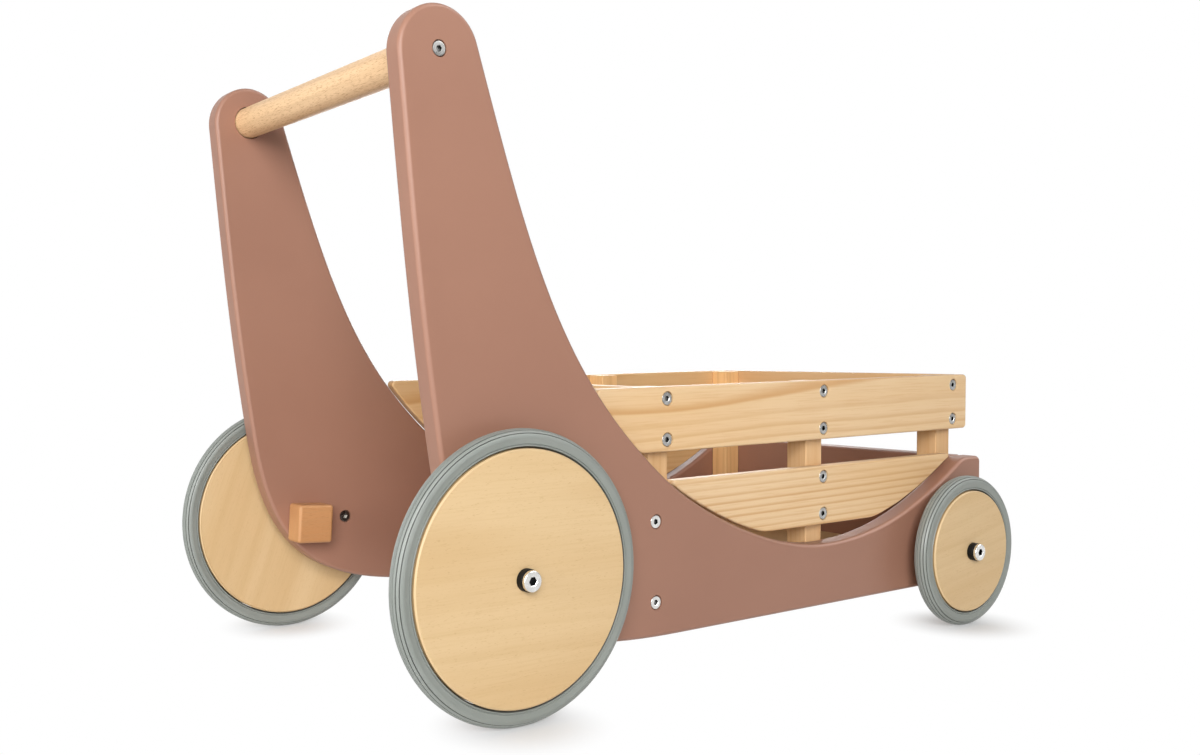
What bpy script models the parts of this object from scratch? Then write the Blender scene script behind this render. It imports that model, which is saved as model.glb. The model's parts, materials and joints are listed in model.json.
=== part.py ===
# A wooden baby push walker: painted side panels, a slatted crate, a handle bar and four wheels.
# Lengths are in metres. X runs forward, Y to the walker's left, Z up from the floor.
# The origin is on the floor, in the middle of the walker's length and width.
import bpy
import bmesh
from math import cos, pi, radians, sin, tan, tau
from mathutils import Vector

# Fits
CLEARANCE = 0.0003          # gap between pieces that touch or pass through each other
SINK_CLEARANCE = 0.0004     # gap between a screw head and its countersink
OVERCUT = 0.001             # how far a cutter starts outside the face it cuts

# Wheels
REAR_TYRE_R = 0.090
FRONT_TYRE_R = 0.060
TYRE_WALL = 0.0117          # tread to disc
TYRE_W = 0.012
TYRE_SHOULDER_R = 0.0057
DISC_T = 0.0134
DISC_CHAMFER = 0.0014
WHEEL_GAP = 0.0103          # side panel to disc

# Axles
BOLT_R = 0.004
BOLT_HEAD_R = 0.0065
BOLT_HEAD_T = 0.0025
BOLT_SOCKET_AF = 0.005      # across the flats
BOLT_SOCKET_DEPTH = 0.0020
BOLT_BITE = 0.012           # length of rear bolt inside the knob
BOLT_TIP = 0.0015           # length of front bolt past its nut
BUSH_R = 0.006
BUSH_FLANGE_R = 0.0070
BUSH_FLANGE_T = 0.0044
SPACER_R = 0.009
NUT_AF = 0.013
NUT_POST_GAP = 0.0041       # nuts of the front axle bolts to the front posts
NUT_T = 0.0065

# Knobs on the rear axle bolts
KNOB_W = 0.030
KNOB_T = 0.020
KNOB_EDGE_R = 0.0025
KNOB_TURN = radians(4)      # how far the knobs are turned at rest
INSERT_R = 0.006
INSERT_L = 0.013

# Friction pads behind the rear wheels
PAD_R = 0.009
PAD_AHEAD = 0.037           # pad centre, ahead of the rear axle
PAD_Z = 0.0908
PAD_RUB_GAP = 0.0003        # pad to disc

# Side panels: places along X are measured from the rear axle
BODY_W = 0.280              # over the outer faces of the side panels
PANEL_T = 0.016
PANEL_EDGE_R = 0.003
PANEL_BOTTOM_Z = 0.0313
ROUND_X = -0.041            # centre of the round upper end
ROUND_Z = 0.400
ROUND_R = 0.0285
SWOOP_TOP_TURN = radians(17.8)
SWOOP_TOP_PULL = 0.1365
SWOOP_MID_X = 0.1395
SWOOP_MID_Z = 0.1376
SWOOP_MID_FALL = radians(38.6)
SWOOP_MID_PULL_UP = 0.1146
SWOOP_MID_PULL_DOWN = 0.0403
SWOOP_LOW_X = 0.304
SWOOP_LOW_Z = 0.0777
SWOOP_LOW_PULL_BACK = 0.0606
SWOOP_LOW_PULL_AHEAD = 0.0646
RISE_END_X = 0.462
RISE_END_Z = 0.1252
RISE_SLOPE = radians(30.8)
RISE_END_PULL = 0.0499
SHOULDER_Z = 0.132
SHOULDER_R = 0.026
NOSE_X = 0.4973
NOSE_R = 0.0048
HEEL_X = 0.150              # where the straight lower edge starts
HEEL_PULL = 0.1243
BACK_X = -0.0424
BACK_Z = 0.155
BACK_LEAN = radians(9)
BACK_PULL_DOWN = 0.1029
BACK_PULL_UP = 0.090
BACK_TOP_TURN = radians(5)
BACK_TOP_PULL = 0.090

# Handle bar
HANDLE_X = -0.0417          # from the rear axle
HANDLE_Z = 0.402
HANDLE_R = 0.0115
HANDLE_SOCKET = 0.008       # how deep each end is let into its panel
HANDLE_CHAMFER = 0.0008

# Crate: places along X are measured from the rear axle
POST_W = 0.018
POST_MID_X = 0.3073
POST_PITCH = 0.1613
POST_DROP = 0.0005          # post tops below the slat tops
POST_EDGE_R = 0.0008
SLAT_TOP_Z = 0.200
SLAT_H = 0.0445
SLAT_T = 0.009
SLAT_SPACE = 0.020          # between the upper and the lower slat
SLAT_EDGE_R = 0.0014
SLAT_CORNER_R = 0.0035
SLAT_HEEL_R = 0.010         # lower rear corner of the upper slat
SLAT_TIP_R = 0.002
SLAT_BELLY_R = 0.060        # lower corners of the lower slat
UPPER_SLAT_GAP = 0.0025     # slat end to the swoop of the panel
LOWER_SLAT_REAR_GAP = 0.003
LOWER_SLAT_FRONT_GAP = 0.0055
CROSS_PANEL_T = 0.016
CROSS_PANEL_TOP_Z = 0.132
CROSS_PANEL_EDGE_R = 0.002
FLOOR_NUT_GAP = 0.0005      # crate floor to the nuts of the front axle bolts
FLOOR_T = 0.008
FLOOR_EDGE_R = 0.0006
BATTEN_W = 0.014
BATTEN_H = 0.012
BATTEN_EDGE_R = 0.001

# Countersunk screws
HEAD_R = 0.0044
HEAD_SINK = 0.0004
SCREW_R = 0.0022
SCREW_SOCKET_AF = 0.0033
SCREW_SOCKET_DEPTH = 0.0014
SLAT_SCREW_L = 0.022
SLAT_SCREW_PITCH = 0.028
CROSS_SLAT_SCREW_PITCH = 0.013
PANEL_SCREW_L = 0.040
REAR_SCREW_HIGH_Z = 0.110
REAR_SCREW_LOW_Z = 0.0553
FRONT_SCREW_HIGH_Z = 0.095
FRONT_SCREW_LOW_Z = 0.048
HANDLE_SCREW_L = 0.040
PAD_SCREW_L = 0.022

# Facets
SMALL_CORNERS = 12          # screws and their holes
SHAFT_CORNERS = 12          # bolts, bushes, spacers, pads and inserts
BAR_CORNERS = 24
FRONT_WHEEL_CORNERS = SHAFT_CORNERS * 3
REAR_WHEEL_CORNERS = SHAFT_CORNERS * 4
FILLET_STEPS = 3
SHARP_ANGLE = radians(40)

# Places that follow from the sizes above
SIDES = {"right": -1, "left": 1}
WHEEL_BASE = POST_MID_X + POST_PITCH - POST_W / 2 - NUT_AF / 2 - NUT_POST_GAP
REAR_AXLE_X = (REAR_TYRE_R - FRONT_TYRE_R - WHEEL_BASE) / 2
FRONT_AXLE_X = REAR_AXLE_X + WHEEL_BASE
PANEL_OUT_Y = BODY_W / 2
PANEL_IN_Y = PANEL_OUT_Y - PANEL_T
CRATE_Y = PANEL_IN_Y - CLEARANCE
DISC_IN_Y = PANEL_OUT_Y + WHEEL_GAP
DISC_OUT_Y = DISC_IN_Y + DISC_T
WHEEL_Y = (DISC_IN_Y + DISC_OUT_Y) / 2
POST_XS = {
    "rear": REAR_AXLE_X + POST_MID_X - POST_PITCH,
    "mid": REAR_AXLE_X + POST_MID_X,
    "front": REAR_AXLE_X + POST_MID_X + POST_PITCH,
}
POST_Y = CRATE_Y - POST_W / 2
REAR_FACE_X = POST_XS["rear"] - POST_W / 2 - CLEARANCE      # what lies behind the rear posts
FRONT_FACE_X = POST_XS["front"] + POST_W / 2 + CLEARANCE    # what lies ahead of the front posts
UPPER_SLAT_LOW_Z = SLAT_TOP_Z - SLAT_H
LOWER_SLAT_TOP_Z = UPPER_SLAT_LOW_Z - SLAT_SPACE
LOWER_SLAT_LOW_Z = LOWER_SLAT_TOP_Z - SLAT_H
UPPER_ROW_Z = SLAT_TOP_Z - SLAT_H / 2
LOWER_ROW_Z = LOWER_SLAT_TOP_Z - SLAT_H / 2
FLOOR_TOP_Z = FRONT_TYRE_R - NUT_AF / 2 / cos(pi / 6) - FLOOR_NUT_GAP


# Scene and finishes

def clear_scene():
    for item in list(bpy.data.objects):
        bpy.data.objects.remove(item)


def finish(name, colour, roughness, metallic=0.0):
    material = bpy.data.materials.new(name)
    material.use_nodes = True
    shader = material.node_tree.nodes["Principled BSDF"]
    shader.inputs["Base Color"].default_value = (*colour, 1.0)
    shader.inputs["Roughness"].default_value = roughness
    shader.inputs["Metallic"].default_value = metallic
    return material


clear_scene()
FINISHES = {
    "paint": finish("mauve_paint", (0.41, 0.22, 0.155), 0.45),
    "pine": finish("pale_pine", (0.80, 0.63, 0.42), 0.6),
    "beech": finish("beech", (0.68, 0.43, 0.22), 0.55),
    "plywood": finish("birch_plywood", (0.74, 0.54, 0.30), 0.55),
    "rubber": finish("grey_rubber", (0.29, 0.34, 0.32), 0.8),
    "plastic": finish("black_plastic", (0.015, 0.015, 0.016), 0.45),
    "felt": finish("grey_felt", (0.16, 0.16, 0.16), 0.95),
    "steel": finish("bright_steel", (0.72, 0.72, 0.71), 0.25, 1.0),
    "brass": finish("brass", (0.78, 0.57, 0.22), 0.35, 1.0),
}


# Objects

def new_object(name, bm, finish_name, parent=None):
    bmesh.ops.recalc_face_normals(bm, faces=bm.faces)
    mesh = bpy.data.meshes.new(name)
    bm.to_mesh(mesh)
    bm.free()
    mesh.materials.append(FINISHES[finish_name])
    mesh.shade_smooth()
    mesh.set_sharp_from_angle(angle=SHARP_ANGLE)
    piece = bpy.data.objects.new(name, mesh)
    bpy.context.scene.collection.objects.link(piece)
    piece.parent = parent
    return piece


def new_cutter(name, bm, parent=None):
    cutter = new_object(name, bm, "steel", parent)
    cutter.hide_render = True
    cutter.display_type = "WIRE"
    return cutter


def new_pivot(name, place, turn=0.0):
    pivot = bpy.data.objects.new(name, None)
    pivot.location = place
    pivot.rotation_euler = (0.0, turn, 0.0)
    bpy.context.scene.collection.objects.link(pivot)
    return pivot


def soften(piece, width, segments=2):
    bevel = piece.modifiers.new("soft_edges", "BEVEL")
    bevel.width = width
    bevel.segments = segments
    bevel.limit_method = "ANGLE"
    bevel.angle_limit = radians(50)


def cut(piece, *cutters):
    for cutter in cutters:
        boolean = piece.modifiers.new(cutter.name, "BOOLEAN")
        boolean.operation = "DIFFERENCE"
        boolean.solver = "EXACT"
        boolean.object = cutter


# Turned solids: rings are (radius, distance along the axis, corners)

def frame_of(axis):
    across = Vector((0, 0, 1)) if abs(axis.z) < 0.5 else Vector((1, 0, 0))
    return across, axis.cross(across)


def add_ring(bm, centre, axis, radius, along, corners):
    across, round_about = frame_of(axis)
    ring = []
    for i in range(corners):
        turn = tau * i / corners
        spoke = across * cos(turn) + round_about * sin(turn)
        ring.append(bm.verts.new(centre + axis * along + spoke * radius))
    return ring


def bridge(bm, ring, other):
    wide, narrow = (ring, other) if len(ring) >= len(other) else (other, ring)
    step = len(wide) // len(narrow)
    for i, corner in enumerate(narrow):
        outer = [wide[(i * step + k) % len(wide)] for k in range(step + 1)]
        bm.faces.new(outer + [narrow[(i + 1) % len(narrow)], corner])


def turned(bm, centre, axis, rings, hollow=False):
    made = [add_ring(bm, centre, axis, *ring) for ring in rings]
    for ring, other in zip(made, made[1:]):
        bridge(bm, ring, other)
    if hollow:
        bridge(bm, made[-1], made[0])
    else:
        bm.faces.new(made[0])
        bm.faces.new(made[-1])


def tube_rings(inner, outer, start, end, corners):
    return [(inner, start, corners), (outer, start, corners), (outer, end, corners), (inner, end, corners)]


def hexagon_r(across_flats):
    return across_flats / 2 / cos(pi / 6)


# Outlines in the XZ plane, with X measured from the rear axle

def bezier(start, pull, pull_end, end, steps):
    points = []
    for i in range(1, steps + 1):
        t = i / steps
        s = 1 - t
        points.append(start * s**3 + pull * (3 * s * s * t) + pull_end * (3 * s * t * t) + end * t**3)
    return points


def fillet(before, corner, after, radius):
    back = (before - corner).normalized()
    ahead = (after - corner).normalized()
    half = back.angle(ahead) / 2
    wall = min((before - corner).length, (after - corner).length) * 0.49
    reach = min(radius / tan(half), wall)
    centre = corner + (back + ahead).normalized() * (reach / cos(half))
    first = corner + back * reach - centre
    last = corner + ahead * reach - centre
    spokes = [first.slerp(last, i / FILLET_STEPS) for i in range(FILLET_STEPS + 1)]
    return [centre + spoke * first.length for spoke in spokes]


def rounded(corners):
    points = []
    for i, (corner, radius) in enumerate(corners):
        if radius:
            after = corners[(i + 1) % len(corners)][0]
            points += fillet(corners[i - 1][0], corner, after, radius)
        else:
            points.append(corner)
    return points


def swoop_back(steps):
    spoke = Vector((cos(SWOOP_TOP_TURN), sin(SWOOP_TOP_TURN)))
    top = Vector((ROUND_X, ROUND_Z)) + spoke * ROUND_R
    mid = Vector((SWOOP_MID_X, SWOOP_MID_Z))
    fall = Vector((cos(SWOOP_MID_FALL), -sin(SWOOP_MID_FALL)))
    low = Vector((SWOOP_LOW_X, SWOOP_LOW_Z))
    start = top + Vector((spoke.y, -spoke.x)) * SWOOP_TOP_PULL
    down = bezier(top, start, mid - fall * SWOOP_MID_PULL_UP, mid, steps)
    level = low - Vector((SWOOP_LOW_PULL_BACK, 0))
    return [top] + down + bezier(mid, mid + fall * SWOOP_MID_PULL_DOWN, level, low, steps)


def swoop_front(steps):
    low = Vector((SWOOP_LOW_X, SWOOP_LOW_Z))
    end = Vector((RISE_END_X, RISE_END_Z))
    slope = Vector((cos(RISE_SLOPE), sin(RISE_SLOPE)))
    level = low + Vector((SWOOP_LOW_PULL_AHEAD, 0))
    return [low] + bezier(low, level, end - slope * RISE_END_PULL, end, steps)


def back_edge(steps):
    heel = Vector((HEEL_X, PANEL_BOTTOM_Z))
    back = Vector((BACK_X, BACK_Z))
    lean = Vector((sin(BACK_LEAN), -cos(BACK_LEAN)))
    spoke = Vector((-cos(BACK_TOP_TURN), -sin(BACK_TOP_TURN)))
    top = Vector((ROUND_X, ROUND_Z)) + spoke * ROUND_R
    level = heel - Vector((HEEL_PULL, 0))
    end = top + Vector((-spoke.y, spoke.x)) * BACK_TOP_PULL
    rise = bezier(heel, level, back + lean * BACK_PULL_DOWN, back, steps)
    return [heel] + rise + bezier(back, back - lean * BACK_PULL_UP, end, top, steps)


def round_end(steps):
    start = pi + BACK_TOP_TURN
    sweep = start - SWOOP_TOP_TURN
    turns = [start - sweep * i / steps for i in range(1, steps)]
    return [Vector((ROUND_X + ROUND_R * cos(t), ROUND_Z + ROUND_R * sin(t))) for t in turns]


def panel_outline():
    shoulder_x = RISE_END_X + (SHOULDER_Z - RISE_END_Z) / tan(RISE_SLOPE)
    corners = [(point, 0) for point in swoop_back(11) + swoop_front(9)[1:]]
    corners.append((Vector((shoulder_x, SHOULDER_Z)), SHOULDER_R))
    corners.append((Vector((NOSE_X, SHOULDER_Z)), NOSE_R))
    corners.append((Vector((NOSE_X, PANEL_BOTTOM_Z)), NOSE_R))
    corners += [(point, 0) for point in back_edge(8) + round_end(12)]
    return rounded(corners)


def shifted(points, gap):
    moved = []
    for i, point in enumerate(points):
        along = points[min(i + 1, len(points) - 1)] - points[max(i - 1, 0)]
        moved.append(point + Vector((-along.y, along.x)).normalized() * gap)
    return moved


def at_height(points, z):
    for start, end in zip(points, points[1:]):
        if min(start.y, end.y) <= z <= max(start.y, end.y):
            return start.lerp(end, (z - start.y) / (end.y - start.y))
    raise ValueError("the swoop does not reach that height")


def edge_between(points, z_from, z_to, steps):
    return [at_height(points, z_from + (z_to - z_from) * i / steps) for i in range(steps + 1)]


def with_corners(points, first_r, last_r):
    radii = [first_r] + [0] * (len(points) - 2) + [last_r]
    return list(zip(points, radii))


def upper_slat_outline():
    swoop = shifted(swoop_back(40), UPPER_SLAT_GAP)
    rear_end = edge_between(swoop, SLAT_TOP_Z, UPPER_SLAT_LOW_Z, 4)
    front_x = FRONT_FACE_X + SLAT_T - REAR_AXLE_X
    corners = with_corners(rear_end, SLAT_CORNER_R, SLAT_HEEL_R)
    corners.append((Vector((front_x, UPPER_SLAT_LOW_Z)), SLAT_CORNER_R))
    corners.append((Vector((front_x, SLAT_TOP_Z)), SLAT_CORNER_R))
    return rounded(corners)


def lower_slat_outline():
    back = shifted(swoop_back(40), LOWER_SLAT_REAR_GAP)
    rise = swoop_front(40)
    slope = Vector((cos(RISE_SLOPE), sin(RISE_SLOPE)))
    front = shifted(rise + [rise[-1] + slope * SLAT_H], LOWER_SLAT_FRONT_GAP)
    rear_end = edge_between(back, LOWER_SLAT_TOP_Z, LOWER_SLAT_LOW_Z, 5)
    front_end = edge_between(front, LOWER_SLAT_LOW_Z, LOWER_SLAT_TOP_Z, 5)
    corners = with_corners(rear_end, SLAT_TIP_R, SLAT_BELLY_R)
    corners += with_corners(front_end, SLAT_BELLY_R, SLAT_TIP_R)
    return rounded(corners)


# Flat and square solids

def plate(name, outline, y_start, y_end, finish_name):
    bm = bmesh.new()
    near = [bm.verts.new((REAR_AXLE_X + point.x, y_start, point.y)) for point in outline]
    far = [bm.verts.new((REAR_AXLE_X + point.x, y_end, point.y)) for point in outline]
    bm.faces.new(near)
    bm.faces.new(far)
    bridge(bm, near, far)
    return new_object(name, bm, finish_name)


def block(name, low, high, finish_name, edge_r, parent=None):
    bm = bmesh.new()
    bmesh.ops.create_cube(bm, size=1.0)
    low, high = Vector(low), Vector(high)
    for vert in bm.verts:
        share = vert.co + Vector((0.5, 0.5, 0.5))
        vert.co = low + Vector(a * b for a, b in zip(share, high - low))
    piece = new_object(name, bm, finish_name, parent)
    soften(piece, edge_r)
    return piece


def ordered(a, b):
    return min(a, b), max(a, b)


# Screws: a seat lies on the face of the wood, and way points into the wood

def screw_rings(length):
    neck = HEAD_SINK + HEAD_R - SCREW_R
    socket_r = hexagon_r(SCREW_SOCKET_AF)
    return [
        (socket_r, HEAD_SINK + SCREW_SOCKET_DEPTH, 6),
        (socket_r, HEAD_SINK, 6),
        (HEAD_R, HEAD_SINK, SMALL_CORNERS),
        (SCREW_R, neck, SMALL_CORNERS),
        (SCREW_R, length, SMALL_CORNERS),
    ]


def screw_hole_rings(length):
    mouth_r = HEAD_R + HEAD_SINK + SINK_CLEARANCE
    hole_r = SCREW_R + CLEARANCE
    return [
        (mouth_r + OVERCUT, -OVERCUT, SMALL_CORNERS),
        (hole_r, mouth_r - hole_r, SMALL_CORNERS),
        (hole_r, length + CLEARANCE, SMALL_CORNERS),
    ]


def screw_holes(name, seats, length):
    bm = bmesh.new()
    for seat, way in seats:
        turned(bm, seat, way, screw_hole_rings(length))
    return new_cutter(name, bm)


def screws_in_holes(name, seats, length):
    for screw_name, (seat, way) in seats.items():
        bm = bmesh.new()
        turned(bm, seat, way, screw_rings(length))
        new_object(screw_name, bm, "steel")
    return screw_holes(name, seats.values(), length)


def seat_pair(x, y, z, way, pitch):
    return [(Vector((x, y, z + pitch * half)), way) for half in (-0.5, 0.5)]


def slat_screw_holes(side, sign):
    face_y = sign * (PANEL_IN_Y + SLAT_T)
    way = Vector((0, -sign, 0))
    seats = []
    for x in POST_XS.values():
        seats += seat_pair(x, face_y, UPPER_ROW_Z, way, SLAT_SCREW_PITCH)
    seats += seat_pair(POST_XS["mid"], face_y, LOWER_ROW_Z, way, SLAT_SCREW_PITCH)
    return screw_holes("slat_screw_holes_" + side, seats, SLAT_SCREW_L)


def cross_slat_screw_holes():
    seats = []
    for sign in SIDES.values():
        y = sign * POST_Y
        rear_x = REAR_FACE_X - SLAT_T
        front_x = FRONT_FACE_X + SLAT_T
        seats += seat_pair(rear_x, y, UPPER_ROW_Z, Vector((1, 0, 0)), CROSS_SLAT_SCREW_PITCH)
        seats += seat_pair(front_x, y, UPPER_ROW_Z, Vector((-1, 0, 0)), CROSS_SLAT_SCREW_PITCH)
    return screw_holes("cross_slat_screw_holes", seats, SLAT_SCREW_L)


def cross_panel_screws(place, x, heights):
    seats = {}
    for side, sign in SIDES.items():
        for level, z in heights.items():
            seat = Vector((x, sign * PANEL_OUT_Y, z))
            seats[f"{place}_panel_screw_{level}_{side}"] = (seat, Vector((0, -sign, 0)))
    return screws_in_holes(place + "_panel_screw_holes", seats, PANEL_SCREW_L)


def handle_screws():
    seats = {}
    for side, sign in SIDES.items():
        seat = Vector((REAR_AXLE_X + HANDLE_X, sign * PANEL_OUT_Y, HANDLE_Z))
        seats["handle_screw_" + side] = (seat, Vector((0, -sign, 0)))
    return screws_in_holes("handle_screw_holes", seats, HANDLE_SCREW_L)


def pad_screws():
    seats = {}
    for side, sign in SIDES.items():
        seat = Vector((REAR_AXLE_X + PAD_AHEAD, sign * PANEL_IN_Y, PAD_Z))
        seats["pad_screw_" + side] = (seat, Vector((0, sign, 0)))
    return screws_in_holes("pad_screw_holes", seats, PAD_SCREW_L)


# Body of the walker

def handle_bar(*cutters):
    end = PANEL_IN_Y + HANDLE_SOCKET - CLEARANCE
    bm = bmesh.new()
    turned(bm, Vector((REAR_AXLE_X + HANDLE_X, 0, HANDLE_Z)), Vector((0, 1, 0)), [
        (HANDLE_R - HANDLE_CHAMFER, -end, BAR_CORNERS),
        (HANDLE_R, HANDLE_CHAMFER - end, BAR_CORNERS),
        (HANDLE_R, end - HANDLE_CHAMFER, BAR_CORNERS),
        (HANDLE_R - HANDLE_CHAMFER, end, BAR_CORNERS),
    ])
    cut(new_object("handle_bar", bm, "beech"), *cutters)


def handle_sockets():
    bm = bmesh.new()
    bar_r = HANDLE_R + CLEARANCE
    for sign in SIDES.values():
        turned(bm, Vector((REAR_AXLE_X + HANDLE_X, 0, HANDLE_Z)), Vector((0, sign, 0)), [
            (bar_r, PANEL_IN_Y - OVERCUT, BAR_CORNERS),
            (bar_r, PANEL_IN_Y + HANDLE_SOCKET, BAR_CORNERS),
        ])
    return new_cutter("handle_sockets", bm)


def axle_holes():
    bm = bmesh.new()
    hole_r = BOLT_R + CLEARANCE
    for sign in SIDES.values():
        for x, z in ((REAR_AXLE_X, REAR_TYRE_R), (FRONT_AXLE_X, FRONT_TYRE_R)):
            turned(bm, Vector((x, 0, z)), Vector((0, sign, 0)), [
                (hole_r, PANEL_IN_Y - OVERCUT, SHAFT_CORNERS),
                (hole_r, PANEL_OUT_Y + OVERCUT, SHAFT_CORNERS),
            ])
    return new_cutter("axle_holes", bm)


def side_panel(side, sign, *cutters):
    panel = plate("side_panel_" + side, panel_outline(), sign * PANEL_IN_Y, sign * PANEL_OUT_Y, "paint")
    soften(panel, PANEL_EDGE_R)
    cut(panel, *cutters)


def cross_panel(name, x_start, *cutters):
    low = (x_start, -CRATE_Y, PANEL_BOTTOM_Z)
    high = (x_start + CROSS_PANEL_T, CRATE_Y, CROSS_PANEL_TOP_Z)
    cut(block(name, low, high, "paint", CROSS_PANEL_EDGE_R), *cutters)


def crate_floor():
    low = (REAR_FACE_X + CLEARANCE, -CRATE_Y, FLOOR_TOP_Z - FLOOR_T)
    high = (FRONT_FACE_X - CLEARANCE, CRATE_Y, FLOOR_TOP_Z)
    block("crate_floor", low, high, "plywood", FLOOR_EDGE_R)


def floor_batten(side, sign):
    top = FLOOR_TOP_Z - FLOOR_T - CLEARANCE
    y_low, y_high = ordered(sign * CRATE_Y, sign * (CRATE_Y - BATTEN_W))
    low = (REAR_FACE_X + CLEARANCE, y_low, top - BATTEN_H)
    high = (FRONT_FACE_X - CLEARANCE, y_high, top)
    block("floor_batten_" + side, low, high, "pine", BATTEN_EDGE_R)


def post(name, x, sign, *cutters):
    y_low, y_high = ordered(sign * CRATE_Y, sign * (CRATE_Y - POST_W))
    low = (x - POST_W / 2, y_low, FLOOR_TOP_Z + CLEARANCE)
    high = (x + POST_W / 2, y_high, SLAT_TOP_Z - POST_DROP)
    cut(block(name, low, high, "pine", POST_EDGE_R), *cutters)


def side_slat(name, outline, sign, cutter):
    slat = plate(name, outline, sign * PANEL_IN_Y, sign * (PANEL_IN_Y + SLAT_T), "pine")
    soften(slat, SLAT_EDGE_R)
    cut(slat, cutter)


def cross_slat(name, x_start, cutter):
    low = (x_start, -CRATE_Y, UPPER_SLAT_LOW_Z)
    high = (x_start + SLAT_T, CRATE_Y, SLAT_TOP_Z)
    cut(block(name, low, high, "pine", SLAT_EDGE_R), cutter)


# Wheels, turned about their axle

def tyre_rings(tyre_r, corners):
    seat_r = tyre_r - TYRE_WALL + CLEARANCE
    shoulder_r = tyre_r - TYRE_SHOULDER_R
    half_w = TYRE_W / 2
    section = [(seat_r, -half_w)]
    for sign in (-1, 1):
        for i in range(FILLET_STEPS + 1):
            turn = (i if sign < 0 else FILLET_STEPS - i) * pi / 2 / FILLET_STEPS
            out = half_w - TYRE_SHOULDER_R * (1 - cos(turn))
            section.append((shoulder_r + TYRE_SHOULDER_R * sin(turn), sign * out))
    section.append((seat_r, half_w))
    return [(radius, along, corners) for radius, along in section]


def disc_rings(disc_r, corners):
    bore_r = BUSH_R + CLEARANCE
    half_t = DISC_T / 2
    rim_r = disc_r - DISC_CHAMFER
    flank = half_t - DISC_CHAMFER
    return [
        (bore_r, -half_t, SHAFT_CORNERS),
        (bore_r, half_t, SHAFT_CORNERS),
        (rim_r, half_t, corners),
        (disc_r, flank, corners),
        (disc_r, -flank, corners),
        (rim_r, -half_t, corners),
    ]


def bush_rings():
    bore_r = BOLT_R + CLEARANCE
    flange_in = DISC_T / 2 + CLEARANCE
    flange_out = flange_in + BUSH_FLANGE_T
    section = [
        (bore_r, CLEARANCE - DISC_T / 2),
        (BUSH_R, CLEARANCE - DISC_T / 2),
        (BUSH_R, flange_in),
        (BUSH_FLANGE_R, flange_in),
        (BUSH_FLANGE_R, flange_out),
        (bore_r, flange_out),
    ]
    return [(radius, along, SHAFT_CORNERS) for radius, along in section]


def wheel(place, side, sign, axle_x, tyre_r, corners):
    pivot = new_pivot(f"{place}_wheel_{side}_axle", (axle_x, sign * WHEEL_Y, tyre_r))
    outward = Vector((0, sign, 0))
    pieces = {
        "disc": ("plywood", disc_rings(tyre_r - TYRE_WALL, corners)),
        "tyre": ("rubber", tyre_rings(tyre_r, corners)),
        "bush": ("plastic", bush_rings()),
    }
    for kind, (finish_name, rings) in pieces.items():
        bm = bmesh.new()
        turned(bm, Vector(), outward, rings, hollow=True)
        new_object(f"{place}_{kind}_{side}", bm, finish_name, pivot)


def spacer(place, side, sign, axle_x, tyre_r):
    bm = bmesh.new()
    rings = tube_rings(BOLT_R + CLEARANCE, SPACER_R, PANEL_OUT_Y + CLEARANCE, DISC_IN_Y - CLEARANCE,
                       SHAFT_CORNERS)
    turned(bm, Vector((axle_x, 0, tyre_r)), Vector((0, sign, 0)), rings, hollow=True)
    new_object(f"{place}_spacer_{side}", bm, "plastic")


def axle_bolt(place, side, sign, axle_x, tyre_r, tip_y):
    head_y = DISC_OUT_Y + CLEARANCE + BUSH_FLANGE_T + CLEARANCE
    top_y = head_y + BOLT_HEAD_T
    socket_r = hexagon_r(BOLT_SOCKET_AF)
    bm = bmesh.new()
    turned(bm, Vector((axle_x, 0, tyre_r)), Vector((0, sign, 0)), [
        (socket_r, top_y - BOLT_SOCKET_DEPTH, 6),
        (socket_r, top_y, 6),
        (BOLT_HEAD_R, top_y, SHAFT_CORNERS),
        (BOLT_HEAD_R, head_y, SHAFT_CORNERS),
        (BOLT_R, head_y, SHAFT_CORNERS),
        (BOLT_R, tip_y, SHAFT_CORNERS),
    ])
    new_object(f"{place}_axle_bolt_{side}", bm, "steel")


def axle_nut(side, sign):
    nut_r = hexagon_r(NUT_AF)
    bore_r = BOLT_R + CLEARANCE
    bm = bmesh.new()
    turned(bm, Vector((FRONT_AXLE_X, 0, FRONT_TYRE_R)), Vector((0, sign, 0)), [
        (bore_r, CRATE_Y, SHAFT_CORNERS),
        (nut_r, CRATE_Y, 6),
        (nut_r, CRATE_Y - NUT_T, 6),
        (bore_r, CRATE_Y - NUT_T, SHAFT_CORNERS),
    ], hollow=True)
    new_object("front_axle_nut_" + side, bm, "steel")


def friction_pad(side, sign, cutter):
    bm = bmesh.new()
    turned(bm, Vector((REAR_AXLE_X + PAD_AHEAD, 0, PAD_Z)), Vector((0, sign, 0)), [
        (PAD_R, PANEL_OUT_Y + CLEARANCE, SHAFT_CORNERS),
        (PAD_R, DISC_IN_Y - PAD_RUB_GAP, SHAFT_CORNERS),
    ])
    cut(new_object("friction_pad_" + side, bm, "felt"), cutter)


def knob(side, sign):
    pivot = new_pivot(f"knob_{side}_axle", (REAR_AXLE_X, sign * CRATE_Y, REAR_TYRE_R), KNOB_TURN)
    inward = Vector((0, -sign, 0))
    y_low, y_high = ordered(0, -sign * KNOB_T)
    half_w = KNOB_W / 2
    body = block("knob_" + side, (-half_w, y_low, -half_w), (half_w, y_high, half_w), "beech",
                 KNOB_EDGE_R, pivot)
    bore = bmesh.new()
    bore_r = INSERT_R + CLEARANCE
    turned(bore, Vector(), inward, [
        (bore_r, -OVERCUT, SHAFT_CORNERS),
        (bore_r, INSERT_L + CLEARANCE, SHAFT_CORNERS),
    ])
    cut(body, new_cutter(f"knob_{side}_bore", bore, pivot))
    insert = bmesh.new()
    turned(insert, Vector(), inward, tube_rings(BOLT_R + CLEARANCE, INSERT_R, 0, INSERT_L, SHAFT_CORNERS),
           hollow=True)
    new_object("knob_insert_" + side, insert, "brass", pivot)


# The walker, put together

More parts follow.
